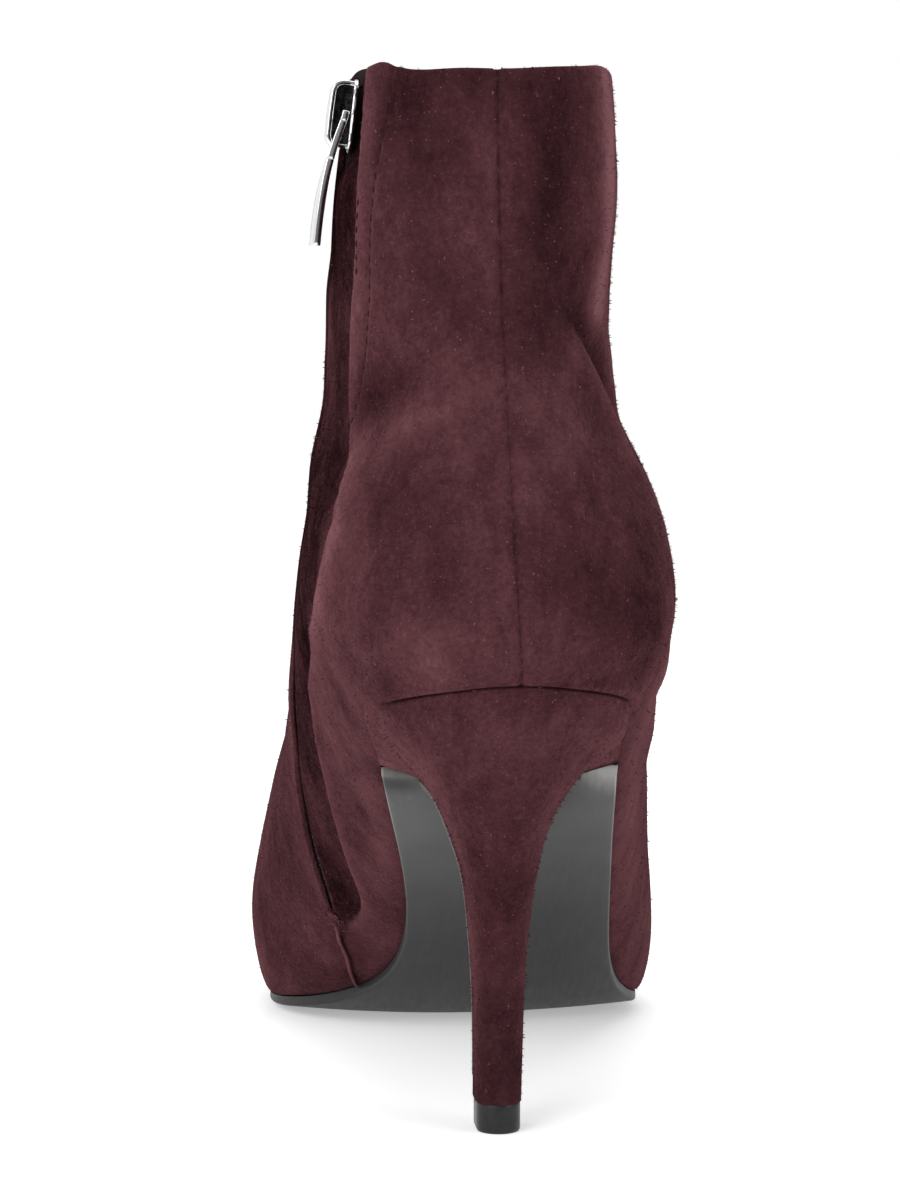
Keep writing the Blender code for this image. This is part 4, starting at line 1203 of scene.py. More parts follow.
def heel_tone(points, count, flank):
    """Tone of the heel's cover: pale at the breast and high up, dark low down, at the seam and outer edge;
    the breast's paleness is a painted highlight, and the darkness at the seam and outer edge is painted
    shadow.
    """
    uneven = 0.03
    uneven_fine = 1.7
    edge_highlight = 0.12
    edge_wide = 1.6
    flank_highlight = 0.16
    flank_wide = 7.0
    low_dark = 0.12
    high_pale = 0.06
    seam_dark = 0.22
    seam_wide = 1.2
    below_seam_shadow = 0.08
    below_wide = 5.0
    outer_shade = 0.6
    outer_wide = 0.7
    flank_from = 48.0
    flank_long = 14.0
    high_from = 56.0
    low_until = 30.0
    low_long = 26.0
    outer_from = 40.0
    change_long = 12.0
    height = points[:, 2]
    place = np.arange(len(points)) % count
    from_breast = np.minimum(place, count - 1 - place)
    from_seam = np.arange(len(points)) // count - len(HEEL_LAP)
    at_back = np.tile(1 - flank, len(points) // count)
    # painted highlights along the breast's edges and up the flanks near it
    tone = uneven * ripple(points * uneven_fine) + edge_highlight * bump(from_breast, edge_wide)
    tone += flank_highlight * bump(from_breast, flank_wide) * smooth((height - flank_from) / flank_long)
    high = smooth((height - high_from) / change_long)
    low = smooth((low_until - height) / low_long)
    tone += high_pale * high - low_dark * low
    # painted shadow under the upper's edge along the seat seam
    tone -= at_back * (seam_dark * bump(from_seam, seam_wide) + below_seam_shadow * bump(from_seam, below_wide))
    # painted shadow line along the outer edge of the breast
    on_outer = bump(count - 1 - place, outer_wide)
    tone -= outer_shade * on_outer * smooth((height - outer_from) / change_long)
    return tone


def make_heel(material, tip, skin, out, stations):
    """The suede-covered heel and the hard piece that it stands on."""
    rings, flank = heel_sheet(skin, out, stations)
    points, faces = closed_rings(rings)
    tone = heel_tone(points, rings.shape[1], flank)
    cover = add_piece("heel_cover", points, faces, material, "suede", ("heel",), tone=tone,
                      fuzz=np.ones(len(points)))
    foot = heel_ring(len(HEEL_RINGS) - 1) * (1, 1, 0)
    tip_rings = [grown(foot, share, share) + (0, 0, height) for share, height in TIP_PROFILE]
    points, faces = closed_rings(tip_rings)
    add_piece("heel_tip", points, faces, tip, "tip_rubber", ("top_piece",))
    return cover


def breast_line():
    """The heel's breast from the seat down: points in the Y-Z plane, half-widths and centres."""
    steps = 60
    seat = seat_ring()
    left, right = seat[0], seat[-1]
    places = [left[1:]]
    halves = [(right[0] - left[0]) / 2]
    centres = [(right[0] + left[0]) / 2]
    for level in np.linspace(0, len(HEEL_RINGS) - FLAP_SHORT, steps):
        sizes = heel_sizes(level)
        places.append(np.array([sizes["front_y"] - HEEL_TIP_Y, sizes["front_z"]]))
        halves.append(sizes["front_wide"])
        centres.append(sizes["centre_x"])
    return np.array(places), np.array(halves), np.array(centres)


def offset_line(line, distance):
    """A line in the Y-Z plane moved to its left by a distance."""
    step = np.gradient(line, axis=0)
    side = np.stack([-step[:, 1], step[:, 0]], 1)
    return line + distance * side / np.linalg.norm(side, axis=1, keepdims=True)


def sole_profile(steps=22):
    """Across the sole from edge to edge: shares of the half-width, and shares of the thickness."""
    upright = 0.72
    edge_in = 0.022
    rise_steps = 4
    turn = np.linspace(0, math.pi / 2, rise_steps + 1)[1:]
    across = np.concatenate([np.ones(rise_steps), 1 - edge_in * (1 - np.cos(turn)),
                             np.linspace(1 - edge_in, 0, steps)[1:]])
    thick = np.concatenate([np.linspace(0, upright, rise_steps), upright + (1 - upright) * np.sin(turn),
                            np.ones(steps - 1)])
    return np.concatenate([-across, across[-2::-1]]), np.concatenate([thick, thick[-2::-1]])


def sole_sheet(stations):
    """Rows across the sole at stations, each a half loop from edge to edge, and the tone with painted light
    at each point.
    """
    skive_long = 9.0
    skive_least = 0.35
    skive_more = 0.4
    skive_from = -0.75
    skive_wide = 0.5
    across, deep = sole_profile()
    crown_most = column("sole_med").max()
    rows = []
    rubbed = []
    for station in stations:
        here, centre, down = bottom_line(station)
        edges = np.where(across < 0, here["sole_med"], here["sole_lat"]) + SOLE_MARGIN
        crown = SOLE_CROWN * min(1.0, (edges[0] + edges[-1]) / (2 * crown_most))
        skived = float(smooth((HEEL_BREAST + skive_long - station) / skive_long))
        thin = 1 - skived * (skive_least + skive_more * smooth((across - skive_from) / skive_wide))
        thick = deep * thin * (SOLE_EDGE + crown * (1 - across ** 2))
        y, z = centre + GAP * down
        rows.append(np.stack([here["centre_x"] + across * edges, y + thick * down[0],
                              np.maximum(z + thick * down[1], 0.0)], 1))
        rubbed.append(sole_painted_light(across * edges, edges, station))
    return np.array(rows), np.array(rubbed)


def sheet_solid(rows):
    """Points and faces of a solid through half loops, closed along their open side and at both ends."""
    count, columns, _ = rows.shape
    faces = grid_faces(count, columns)
    for row in range(count - 1):
        a = row * columns
        faces.append((a, a + columns, a + 2 * columns - 1, a + columns - 1))
    faces.append(list(range(columns)))
    faces.append([(count - 1) * columns + i for i in range(columns)][::-1])
    return rows.reshape(-1, 3), faces


def sole_lip(rows):
    """Rows that round the sole's end off at the heel's breast."""
    lip_steps = 6
    kept_thick = 0.15
    last = rows[-1]
    ends = last[[0, -1]]
    top = np.stack([last[:, 0], *(np.interp(last[:, 0], ends[:, 0], ends[:, axis]) for axis in (1, 2))], 1)
    back = last[1, 1:] - rows[-3][1, 1:]
    back /= np.linalg.norm(back)
    lip = []
    for turn in np.linspace(0, math.pi / 2, lip_steps)[1:]:
        row = top + (last - top) * math.cos(turn) * (1 - kept_thick) + (last - top) * kept_thick
        row[:, 1:] += SOLE_LIP * math.sin(turn) * back
        lip.append(row)
    return np.array(lip)


def sole_flap():
    """Rows of the flap down the heel's breast, with a fillet into the sole, and the tone of each point, with
    painted shade along the flap's outer edge.
    """
    fillet = 3.2
    fillet_shares = (0.62, 0.36, 0.18, 0.08, 0.02)
    tuck_up = 0.9
    past_most = 0.8
    past_from = 38.0
    past_long = 16.0
    pale = 0.08
    shade = 0.7
    shade_from = 0.8
    shade_long = 0.15
    places, halves, centres = breast_line()
    inner = offset_line(places, GAP)
    outer = offset_line(places, GAP + FLAP_THICK)
    across, deep = sole_profile()
    rows = []
    for index in range(1, len(places)):
        flat = inner[index] + deep[:, None] * (outer[index] - inner[index])
        past = past_most * smooth((places[index][1] - past_from) / past_long) * np.clip(across, 0, 1) ** 4
        rows.append(np.column_stack([centres[index] + across * halves[index] + past, flat]))
    corner = rows[0].copy()
    corner[:, 1:] += deep[:, None] * (fillet, 0.0)
    rows = np.concatenate([corner[None] + (0, 0, tuck_up), np.array(rows)])
    rows[1:1 + len(fillet_shares), :, 1] += deep * fillet * np.array(fillet_shares)[:, None]
    # painted shade along the flap's outer edge
    rubbed = np.tile(pale - shade * smooth((across - shade_from) / shade_long), len(rows))
    return rows, rubbed


def make_outsole(material):
    """The thin outsole: crowned under the forefoot, arched at the waist, with lip and flap at the breast."""
    short_of_end = 1.0
    sole_steps = 170
    rows, rubbed = sole_sheet(np.linspace(KNOTS[-1] - short_of_end, HEEL_BREAST + SOLE_LIP, sole_steps))
    lip = sole_lip(rows)
    points, faces = sheet_solid(np.concatenate([rows, lip]))
    flap, flap_rubbed = sole_flap()
    flap_points, flap_faces = sheet_solid(flap)
    faces += [[len(points) + i for i in face] for face in flap_faces]
    sole_light_and_tone = np.concatenate([carried(rubbed, 0, len(lip)).ravel(), flap_rubbed])
    piece = add_piece("leather_sole", np.concatenate([points, flap_points]), faces, material, "sole_leather",
                      ("outsole",), rubbed=sole_light_and_tone)
    shape = bmesh.new()
    shape.from_mesh(piece.data)
    bmesh.ops.recalc_face_normals(shape, faces=shape.faces)
    shape.to_mesh(piece.data)
    shape.free()


def sole_painted_light(x, edges, station):
    """Tone of the sole with its painted light: painted highlights along its edge, towards the heel and at the
    breast's corners, painted shade on its outer side and in a pocket at the inner corner, and darker towards
    the toe.
    """
    darkness = 0.40
    edge_highlight = 0.16
    edge_wide = 0.3
    broad_highlight = 0.07
    broad_wide = 7.0
    waist_highlight = 0.55
    tread_dark = 0.14
    outer_shade = 0.11
    rim_highlight = 0.14
    pocket_shadow = 0.36
    corner_highlight = 0.44
    waist_until = 186.0
    waist_long = 64.0
    tread_from = 136.0
    tread_long = 34.0
    inner_from = 13.0
    inner_long = 6.0
    rim_at = 0.8
    rim_wide = 0.9
    pocket_at = 2.7
    pocket_wide = 1.5
    corner_at = 0.5
    corner_wide = 5.0
    outer_from = 12.0
    outer_long = 9.0
    outer_side_long = 12.0
    from_edge = edges - np.abs(x)
    from_breast = station - HEEL_BREAST
    # painted highlights along the edge and towards the heel, and darker towards the toe
    edge = edge_highlight * bump(from_edge, edge_wide) + broad_highlight * bump(from_edge, broad_wide)
    waist = waist_highlight * float(smooth((waist_until - station) / waist_long))
    tread = tread_dark * float(smooth((station - tread_from) / tread_long))
    inner_corner = smooth((-x - inner_from) / inner_long)
    # painted highlight on the lip's rim and painted shadow in the pocket under it, a painted highlight at the
    # outer corner, and painted shade on the outer side
    rim = rim_highlight * bump(from_breast - rim_at, rim_wide) * inner_corner
    pocket = pocket_shadow * bump(from_breast - pocket_at, pocket_wide) * inner_corner
    at_corner = bump(from_breast - corner_at, corner_wide)
    outer_corner = corner_highlight * at_corner * smooth((x - outer_from) / outer_long)
    outer_side = outer_shade * smooth(x / outer_side_long)
    return edge + waist + rim + outer_corner - darkness - tread - outer_side - pocket


class Pattern(NodeMaker):
    """A geometry node tree in the making, with labelled inputs and one output."""

    def __init__(self, name, output, **inputs):
        self.tree = bpy.data.node_groups.new(name, "GeometryNodeTree")
        super().__init__(self.tree)
        for label, kind in inputs.items():
            shown = label.replace("_", " ")
            self.tree.interface.new_socket(shown, in_out="INPUT", socket_type="NodeSocket" + kind)
        self.tree.interface.new_socket(output, in_out="OUTPUT", socket_type="NodeSocketGeometry")
        self.given = self.nodes.new("NodeGroupInput").outputs

    def mark(self, name, kind):
        """A mark left on the points."""
        made = self.node("GeometryNodeInputNamedAttribute", {"data_type": kind}, Name=name)
        return made.outputs["Attribute"]

    def turn(self, along, out):
        """The turn that takes X along one way and Z out along another."""
        axes = {"primary_axis": "X", "secondary_axis": "Z"}
        return self.node("FunctionNodeAxesToRotation", axes, i0=along, i1=out).outputs["Rotation"]

    def finish(self, points, thing, turn, size, smoothed):
        """Sets a thing at each point, makes all of them real, gives them their finish and ends the tree."""
        there = self.node("GeometryNodeInstanceOnPoints", Points=points, Instance=thing, Rotation=turn,
                          Scale=size)
        made = self.node("GeometryNodeRealizeInstances", Geometry=there.outputs["Instances"])
        if smoothed:
            made = self.node("GeometryNodeSetShadeSmooth", Geometry=made.outputs["Geometry"])
        made = self.node("GeometryNodeSetMaterial", Geometry=made.outputs["Geometry"],
                         Material=self.given["Finish"])
        self.node("NodeGroupOutput", i0=made.outputs["Geometry"])
        return self.tree


def repeat_tree():
    """A node tree that sets one small rounded thing at each point of a mesh, turned along and out from it."""
    p = Pattern("repeat_along", "Pieces", Points="Geometry", Size="Vector", Finish="Material")
    cloud = p.node("GeometryNodeMeshToPoints", Mesh=p.given["Points"]).outputs["Points"]
    ball = p.node("GeometryNodeMeshUVSphere", Segments=8, Rings=5, Radius=0.5).outputs["Mesh"]
    turn = p.turn(p.mark("along", "FLOAT_VECTOR"), p.mark("out", "FLOAT_VECTOR"))
    return p.finish(cloud, ball, turn, p.given["Size"], True)


def nap_tree():
    """A node tree that strews short hairs over a cover, standing out of it and leaning every way."""
    least_lean = (-0.9, -0.9, -1.2)
    most_lean = (0.9, 0.9, 0.6)
    least_size = 0.35
    most_size = 1.2
    p = Pattern("nap", "Hairs", Cover="Geometry", Hairs_per_area="Float", Size="Vector", Seed="Int",
                Finish="Material")
    thickly = p.node("ShaderNodeMath", {"operation": "MULTIPLY"}, i0=p.mark("fuzz", "FLOAT"),
                     i1=p.given["Hairs per area"]).outputs["Value"]
    strewn = p.node("GeometryNodeDistributePointsOnFaces", Mesh=p.given["Cover"], Density=thickly,
                    Seed=p.given["Seed"])
    lean = p.node("FunctionNodeRandomValue", {"data_type": "FLOAT_VECTOR"}, i0=least_lean,
                  i1=most_lean, Seed=p.given["Seed"]).outputs[0]
    way = p.node("ShaderNodeVectorMath", {"operation": "ADD"}, i0=strewn.outputs["Normal"], i1=lean)
    hair = p.node("GeometryNodeMeshCircle", {"fill_type": "NGON"}, Vertices=3, Radius=1.0).outputs["Mesh"]
    unlike = p.node("FunctionNodeRandomValue", {"data_type": "FLOAT"}, i2=least_size, i3=most_size,
                    Seed=p.given["Seed"])
    sized = p.node("ShaderNodeVectorMath", {"operation": "SCALE"}, i0=p.given["Size"],
                   Scale=unlike.outputs[1])
    turn = p.turn(way.outputs["Vector"], lean)
    return p.finish(strewn.outputs["Points"], hair, turn, sized.outputs["Vector"], False)


def grow(tree, name, mesh, inputs):
    """Makes one plain piece from a mesh by a node tree, whose inputs are given by their labels."""
    holder = bpy.data.objects.new(name + "_holder", mesh)
    bpy.context.scene.collection.objects.link(holder)
    change = holder.modifiers.new(tree.name, "NODES")
    change.node_group = tree
    keys = {item.name: item.identifier for item in tree.interface.items_tree if item.in_out == "INPUT"}
    for label, value in inputs.items():
        change[keys[label]] = value
    bpy.context.view_layer.update()
    ready = holder.evaluated_get(bpy.context.evaluated_depsgraph_get())
    made = bpy.data.meshes.new_from_object(ready)
    made.name = name
    holder.modifiers.remove(change)
    bpy.data.objects.remove(holder)
    piece = bpy.data.objects.new(name, made)
    bpy.context.scene.collection.objects.link(piece)
    settle(piece)


def add_repeats(tree, name, places, along, out, size, material):
    """Sets small things of one size in a row, as one piece."""
    mesh = bpy.data.meshes.new(name + "_places")
    mesh.from_pydata((np.asarray(places) * MM).tolist(), [], [])
    for mark, values in (("along", along), ("out", out)):
        layer = mesh.attributes.new(mark, "FLOAT_VECTOR", "POINT")
        layer.data.foreach_set("vector", np.asarray(values, np.float32).ravel())
    grow(tree, name, mesh, {"Size": [value * MM for value in size], "Finish": material})


def add_nap(tree, name, cover, material, seed):
    """Strews the nap's standing hairs over a finished cover, as one piece."""
    inputs = {
        "Hairs per area": NAP_HAIRS,
        "Size": [value * MM for value in NAP_SIZE],
        "Seed": seed,
        "Finish": material,
    }
    grow(tree, name, cover.data.copy(), inputs)


def row_on(line, facing, pitch):
    """Even places along a line of points on the upper, with the ways along it and out of it."""
    reach = 0.6
    run = lengths(line)
    places = np.arange(pitch / 2, run[-1], pitch)
    spots = walk(line, places)
    ahead = walk(line, np.minimum(places + reach, run[-1]))
    behind = walk(line, np.maximum(places - reach, 0.0))
    along = ahead - behind
    along /= np.linalg.norm(along, axis=1, keepdims=True)
    out = np.stack([np.interp(places, run, facing[:, axis]) for axis in range(3)], 1)
    out /= np.linalg.norm(out, axis=1, keepdims=True)
    return spots, along, out


def make_stitches(tree, stations, skin, out, thread_finish):
    """Stitches down the back seam and behind the zip, where a short second row stands beside the first."""
    pitch = 2.5
    beside = 6
    back_size = (1.1, 0.26, 0.24)
    zip_size = (1.3, 0.42, 0.34)
    rows = (
        ("back_stitches", 2.0, HEEL_BACK - 1, 0, -0.02, back_size),
        ("zip_stitches", 3.0, ZIP_END - 2, REAR_STEPS, 0.04, zip_size),
        ("second_zip_stitches", 22.0, 38.0, REAR_STEPS + beside, 0.05, zip_size),
    )
    for name, first, last, col, lift, size in rows:
        held = between(stations, first, last)
        spots, along, facing = row_on(skin[held, col], out[held, col], pitch)
        add_repeats(tree, name, spots + lift * facing, along, facing, size, thread_finish)


def make_bartack(tree, thread_finish):
    """The bartack at the zip's lower end, and the loose fibres round it."""
    tack_at = 176.2
    tack_behind = 0.4
    bars = 8
    bars_half = 1.5
    bar_size = (3.2, 0.60, 0.6)
    bar_lift = 0.45
    slant_share = 0.25
    fibres = 70
    fibre_size = (1.9, 0.15, 0.15)
    fibre_lift = 0.7
    fibre_aside = 2.0
    fibre_down = 1.2
    fibre_out = 0.5
    seed = 7
    step_down = 3
    step_ahead = 1
    step_behind = 5
    points, place = zip_place(tack_at)
    spot = walk(points, [place - tack_behind])[0]
    ahead, next_place = zip_place(tack_at + step_down)
    down = walk(ahead, [next_place - tack_behind])[0] - spot
    down /= np.linalg.norm(down)
    across = walk(points, [place + step_ahead])[0] - walk(points, [place - step_behind])[0]
    across /= np.linalg.norm(across)
    face = np.cross(down, across)
    face = face if face[0] < 0 else -face
    shifts = np.linspace(-bars_half, bars_half, bars)
    places = np.array([spot + shift * down + bar_lift * face for shift in shifts])
    slant = across + slant_share * down
    add_repeats(tree, "bartack", places, np.repeat([slant], bars, 0), np.repeat([face], bars, 0), bar_size,
                thread_finish)
    random = np.random.default_rng(seed)
    loose = spot + random.normal(0, fibre_aside, (fibres, 1)) * across
    loose = loose + random.normal(0, fibre_down, (fibres, 1)) * down
    way = random.normal(0, 1, (fibres, 3)) + fibre_out * face
    way /= np.linalg.norm(way, axis=1, keepdims=True)
    add_repeats(tree, "loose_fibres", loose + fibre_lift * face, way, np.repeat([face], fibres, 0),
                fibre_size, thread_finish)


def make_zip_teeth(tree, stations, skin, out, metal):
    """The zip's two rows of teeth behind the slit."""
    first = 16.0
    short_of_end = 4.0
    pitch = 0.85
    sunk = 1.75
    aside = 0.75
    size = (2.3, 1.1, 1.2)
    held = between(stations, first, ZIP_END - short_of_end)
    middle = (skin[held, EDGE] + skin[held, EDGE + 1]) / 2
    spots, along, facing = row_on(middle, out[held, EDGE + 1], pitch)
    across = np.cross(along, facing)
    side = np.where(np.arange(len(spots)) % 2 == 0, 1.0, -1.0)[:, None]
    places = spots - sunk * facing + aside * side * across
    add_repeats(tree, "zip_teeth", places, across, facing, size, metal)


def make_zip_tape(stations, skin, out, material):
    """The zip's cloth tape, close under the suede on both sides of the slit."""
    thick = 0.5
    first = 1.5
    short_of_end = 3.0
    rows = []
    for row in between(stations, first, ZIP_END - short_of_end):
        over = [skin[row, EDGE + col] - deep * out[row, EDGE + col] for col, deep in TAPE_ACROSS]
        under = [skin[row, EDGE + col] - (deep + thick) * out[row, EDGE + col] for col, deep in TAPE_ACROSS]
        rows.append(over + under[::-1])
    points, faces = closed_rings(rows[::-1])
    add_piece("cloth_tape", points, faces, material, "zip_cloth", ("zip_tape",))


def make_welt(material):
    """The raised welt that runs on below the zip down to the sole."""
    steps = 40
    outward = np.array((-1.0, -0.12, 0.1))
    half_wide = 1.3
    narrowing = 0.25
    uneven = 0.12
    uneven_fine = 17.0
    tall = 0.9
    sunk = 0.3
    line = np.array(WELT)
    at = np.linspace(0, 1, steps)
    run = lengths(line)
    run /= run[-1]
    path = []
    for station, place in zip(np.interp(at, run, line[:, 0]), np.interp(at, run, line[:, 1])):
        points, _ = zip_place(station)
        path.append(walk(points, [place])[0])
    path = np.array(path)
    along = np.gradient(path, axis=0)
    along /= np.linalg.norm(along, axis=1, keepdims=True)
    rows = []
    for share, spot, way in zip(at, path, along):
        face = outward - way * (outward @ way)
        face /= np.linalg.norm(face)
        side = np.cross(way, face)
        wide = half_wide - narrowing * share + uneven * math.sin(uneven_fine * share)
        rows.append([spot + wide * math.cos(turn) * side + (tall * math.sin(turn) - sunk) * face
                     for turn in np.linspace(0, math.pi, len(WELT_PAINTED_LIGHT))])
    rows = np.array(rows)
    count, columns, _ = rows.shape
    # painted highlight along the welt's crown, painted shade down its sides
    tone = np.repeat([WELT_PAINTED_LIGHT], count, 0)
    faces = grid_faces(count, columns, turned=True)
    add_piece("zip_welt", rows.reshape(-1, 3), faces, material, "suede", tone=tone)


def make_tape_end(material):
    """The zip tape's upper end, folded in behind the slider."""
    steps = 24
    round_steps = 7
    thick = 0.45
    tall = 2.6
    rows = []
    for spot in curve_through(TAPE_END, steps):
        ring = [spot + (0, thick * math.cos(turn), thick * math.sin(turn))
                for turn in np.linspace(0, math.pi, round_steps)]
        rows.append([spot + (0, thick, -tall)] + ring + [spot + (0, -thick, -tall)])
    points, faces = closed_rings(rows[::-1])
    add_piece("tape_end", points, faces, material, "zip_cloth")


def curve_through(points, steps):
    """A smooth line through points in a plane or in space."""
    points = np.array(points)
    run = lengths(points)
    at = np.linspace(0, run[-1], steps)
    return np.stack([spline(run, points[:, axis], at) for axis in range(points.shape[1])], 1)


def pivot_place():
    """The pull's pivot, just below the upper's outer face on the zip's line."""
    points, place = zip_place(SLIDER_AT)
    return walk(points, [place])[0] + (GAP, 0, 0)


def swept_bar(line, thick, wide):
    """Rings of four corners along a flat bar that follows a line in the X-Z plane."""
    line = np.array(line)
    step = np.gradient(line, axis=0)
    side = np.stack([-step[:, 1], step[:, 0]], 1)
    side *= thick / 2 / np.linalg.norm(side, axis=1, keepdims=True)
    corners = ((-1, -1), (1, -1), (1, 1), (-1, 1))
    return np.array([[(here[0] + s * out[0], w * wide / 2, here[1] + s * out[1]) for s, w in corners]
                     for here, out in zip(line, side)])


def twist(points, turn):
    """Turns points about the upright axis, in place."""
    x = points[..., 0].copy()
    y = points[..., 1].copy()
    points[..., 0] = x * np.cos(turn) + y * np.sin(turn)
    points[..., 1] = y * np.cos(turn) - x * np.sin(turn)


def add_metal(name, solids, place, lean, material, stands_for, body, round_edge):
    """A metal piece of several closed solids with rounded edges, standing at a place and leaning about Y."""
    crisp_from = math.radians(35)
    sharp_from = math.radians(40)
    points = []
    faces = []
    for ring_points, ring_faces in solids:
        start = sum(len(group) for group in points)
        points.append(ring_points)
        faces += [[start + i for i in face] for face in ring_faces]
    mesh = bpy.data.meshes.new(name)
    mesh.from_pydata((np.concatenate(points) * MM).tolist(), [], faces)
    shape = bmesh.new()
    shape.from_mesh(mesh)
    bmesh.ops.recalc_face_normals(shape, faces=shape.faces)
    crisp = [edge for edge in shape.edges if edge.calc_face_angle(0.0) > crisp_from]
    bmesh.ops.bevel(shape, geom=crisp, offset=round_edge * MM, segments=3, profile=0.5, affect="EDGES")
    stand = Matrix.Translation(Vector(place) * MM) @ Matrix.Rotation(lean, 4, "Y")
    bmesh.ops.transform(shape, matrix=stand, verts=shape.verts)
    shape.to_mesh(mesh)
    shape.free()
    mesh.shade_smooth()
    mesh.set_sharp_from_angle(angle=sharp_from)
    mesh.materials.append(material)
    piece = bpy.data.objects.new(name, mesh)
    bpy.context.scene.collection.objects.link(piece)
    settle(piece, stands_for, body)


def make_slider(place, metal, dark_metal):
    """The zip's slider: a shield-shaped plate with a long arched crown, and the dark body inside it."""
    plate_out = 1.05
    plate_in = 1.85
    plate_steps = 26
    crown_steps = 60
    crown_thick = 0.9
    crown_wide = 3.0
    body_half = 0.7
    turn = math.radians(-6.5)
    plate = []
    for height, share in curve_through(SLIDER_PLATE, plate_steps):
        wide = SLIDER_WIDE / 2 * share
        plate.append([(plate_out, -wide, height), (plate_out, wide, height),
                      (plate_in, wide, height), (plate_in, -wide, height)])
    line = curve_through(SLIDER_CROWN, crown_steps)
    crown = swept_bar(line, crown_thick, crown_wide)
    body = np.array([[(x, side * body_half, z) for x, z in line] for side in (-1, 1)])
    for shape in (crown, body):
        twist(shape, turn)
    solids = [closed_rings(plate), closed_rings(crown)]
    add_metal("slider", solids, place, SLIDER_LEAN, metal, ("zip_slider",), "boot", round_edge=0.22)
    add_metal("slider_body", [closed_rings(body)], place, SLIDER_LEAN, dark_metal, (), "boot",
              round_edge=0.08)


def make_pull(place, metal):
    """The pull tab: a slightly bowed plate with a long eye that the crown passes through."""
    bow = 1.05
    thick = 1.3
    bar_high = 1.2
    bar_low = -0.7
    eye_low = -8.2
    rail_inner = 2.1
    half = PULL_WIDE / 2
    twist_most = math.radians(-7.0)
    twist_from = 4.0
    twist_long = 14.0
    bar_steps = 4
    rail_steps = 10
    plate_steps = 26

    def bowed(high, low, left, right, steps):
        """A stretch of the bowed plate from one height to another, between two sides."""
        drops = np.linspace(high, low, steps)
        line = [(-bow * math.sin(math.pi * max(-drop, 0) / PULL_LONG), drop) for drop in drops]
        rings = swept_bar(line, thick, PULL_WIDE)
        rings[:, :, 1] = np.where(rings[:, :, 1] < 0, left, right)
        return closed_rings(rings)

    solids = [
        bowed(bar_high, bar_low, -half, half, bar_steps),
        bowed(bar_low, eye_low, -half, -rail_inner, rail_steps),
        bowed(bar_low, eye_low, rail_inner, half, rail_steps),
        bowed(eye_low, -PULL_LONG, -half, half, plate_steps),
    ]
    for points, _ in solids:
        twist(points, twist_most * smooth((-points[:, 2] - twist_from) / twist_long))
    add_metal("pull_tab", solids, place, PULL_LEAN, metal, ("zip_pull",), "zip_pull", round_edge=0.15)


def dress_solids(finishes):
    """Finishes for the solids that show as they are."""
    for node, material in finishes.items():
        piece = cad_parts[node]
        piece.data.materials.clear()
        piece.data.materials.append(material)


def make_floor():
    """A pale paper floor that sweeps up behind, in metres."""
    half_wide = 4.0
    near = -3.0
    bend_from = 2.0
    bend_round = 1.0
    bend_steps = 13
    top = 4.0
    s = Surface("paper")
    cloud = s.noise(s.places(), 3.0, 1.0, 0.5)
    white = s.ramp(cloud, ((0.3, (0.86, 0.86, 0.86)), (0.7, (0.88, 0.88, 0.88))))
    paper = s.finish(Base_Color=white, Roughness=0.9, Specular_IOR_Level=0.1, Emission_Color=white,
                     Emission_Strength=0.42)
    profile = [(near, 0.0), (bend_from, 0.0)]
    for turn in np.linspace(0, math.pi / 2, bend_steps)[1:]:
        profile.append((bend_from + bend_round * math.sin(turn), bend_round * (1.0 - math.cos(turn))))
    profile.append((bend_from + bend_round, top))
    points = [(x, y, z) for y, z in profile for x in (-half_wide, half_wide)]
    faces = [(2 * i, 2 * i + 1, 2 * i + 3, 2 * i + 2) for i in range(len(profile) - 1)]
    mesh = bpy.data.meshes.new("floor")
    mesh.from_pydata(points, [], faces)
    mesh.shade_smooth()
    mesh.materials.append(paper)
    floor = bpy.data.objects.new("floor", mesh)
    bpy.context.scene.collection.objects.link(floor)


def make_sky():
    """White light from all round, stronger from the upper left and from in front of the toe."""
    bright_side = Vector((-0.62, 0.30, 0.72)).normalized()
    dim_from = -0.55
    dim = 0.10
    bright = 1.0
    world = bpy.data.worlds.new("studio")
    bpy.context.scene.world = world
    world.use_nodes = True
    sky = NodeMaker(world.node_tree)
    way = sky.node("ShaderNodeTexCoord").outputs["Generated"]
    facing = sky.node("ShaderNodeVectorMath", {"operation": "DOT_PRODUCT"}, i0=way, i1=bright_side)
    spread = sky.node("ShaderNodeMapRange", Value=facing.outputs["Value"], From_Min=dim_from, To_Min=dim,
                      To_Max=bright)
    background = sky.nodes["Background"]
    sky.put(background.inputs["Color"], (1.0, 1.0, 1.0, 1))
    sky.put(background.inputs["Strength"], spread.outputs["Result"])
    bpy.context.scene.view_settings.view_transform = "Standard"


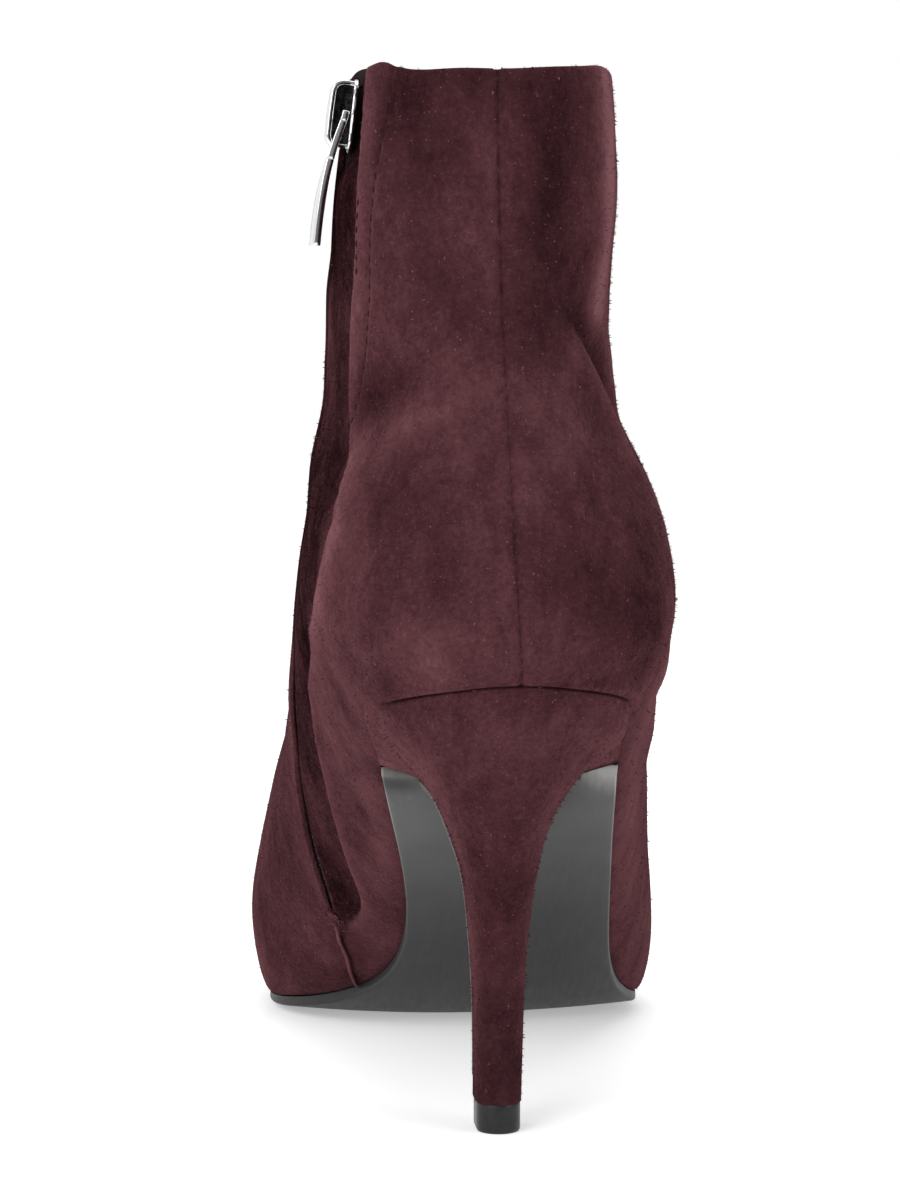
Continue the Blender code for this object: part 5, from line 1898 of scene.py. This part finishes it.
def make_lights():
    """Three soft lights, each with its place, what it is aimed at, its size and its power."""
    lights = (
        ("key", (-0.80, -0.95, 0.70), (0.0, 0.02, 0.10), 0.9, 9.0),
        ("top", (0.10, 0.10, 1.35), (0.0, 0.05, 0.10), 1.0, 8.0),
        ("fill", (1.05, -0.70, 0.45), (0.0, 0.05, 0.09), 0.7, 5.0),
    )
    for name, place, aim, size, power in lights:
        lamp = bpy.data.lights.new(name, "AREA")
        lamp.shape = "DISK"
        lamp.size = size
        lamp.energy = power
        holder = bpy.data.objects.new(name, lamp)
        holder.location = place
        holder.rotation_euler = (Vector(aim) - Vector(place)).to_track_quat("-Z", "Y").to_euler()
        bpy.context.scene.collection.objects.link(holder)


def make_camera():
    """The camera behind the heel, a little towards the inner side and above."""
    yaw = math.radians(5.0)
    away = 0.571
    aside = -0.0088
    height = 0.133
    drop_share = 194.5 / 3140
    sensor_wide = 36.0
    focal_length = 94.2
    nearest = 0.01
    pitch = math.atan(drop_share)
    ahead = Vector((math.sin(yaw), math.cos(yaw), 0))
    right = Vector((math.cos(yaw), -math.sin(yaw), 0))
    lens = bpy.data.cameras.new("camera")
    lens.sensor_width = sensor_wide
    lens.lens = focal_length
    lens.clip_start = nearest
    camera = bpy.data.objects.new("camera", lens)
    camera.location = -away * ahead + aside * right + Vector((0, 0, height))
    look = ahead * math.cos(pitch) - Vector((0, 0, 1)) * math.sin(pitch)
    camera.rotation_euler = look.to_track_quat("-Z", "Y").to_euler()
    bpy.context.scene.collection.objects.link(camera)
    bpy.context.scene.camera = camera


def main():
    """Makes every piece, the studio round it and the camera."""
    soft = suede()
    lining = lining_leather()
    metal = chrome()
    cloth = zip_cloth()
    cover, stations, skin, out = make_upper(soft, lining)
    heel = make_heel(soft, heel_tip(), skin, out, stations)
    make_outsole(sole_leather())
    tree = repeat_tree()
    dark = thread("dark_thread", (0.014, 0.0052, 0.0062), (0.036, 0.014, 0.016))
    pale = thread("pale_thread", (0.070, 0.024, 0.030), (0.125, 0.048, 0.056))
    make_stitches(tree, stations, skin, out, dark)
    make_bartack(tree, pale)
    make_zip_teeth(tree, stations, skin, out, zip_metal())
    make_welt(soft)
    make_zip_tape(stations, skin, out, cloth)
    make_tape_end(cloth)
    hairs = nap_tree()
    add_nap(hairs, "upper_nap", cover, soft, seed=3)
    add_nap(hairs, "heel_nap", heel, soft, seed=5)
    pivot = pivot_place()
    make_slider(pivot, metal, black_chrome())
    make_pull(pivot, metal)
    dress_solids({"insole": lining})
    make_floor()
    make_sky()
    make_lights()
    make_camera()


main()
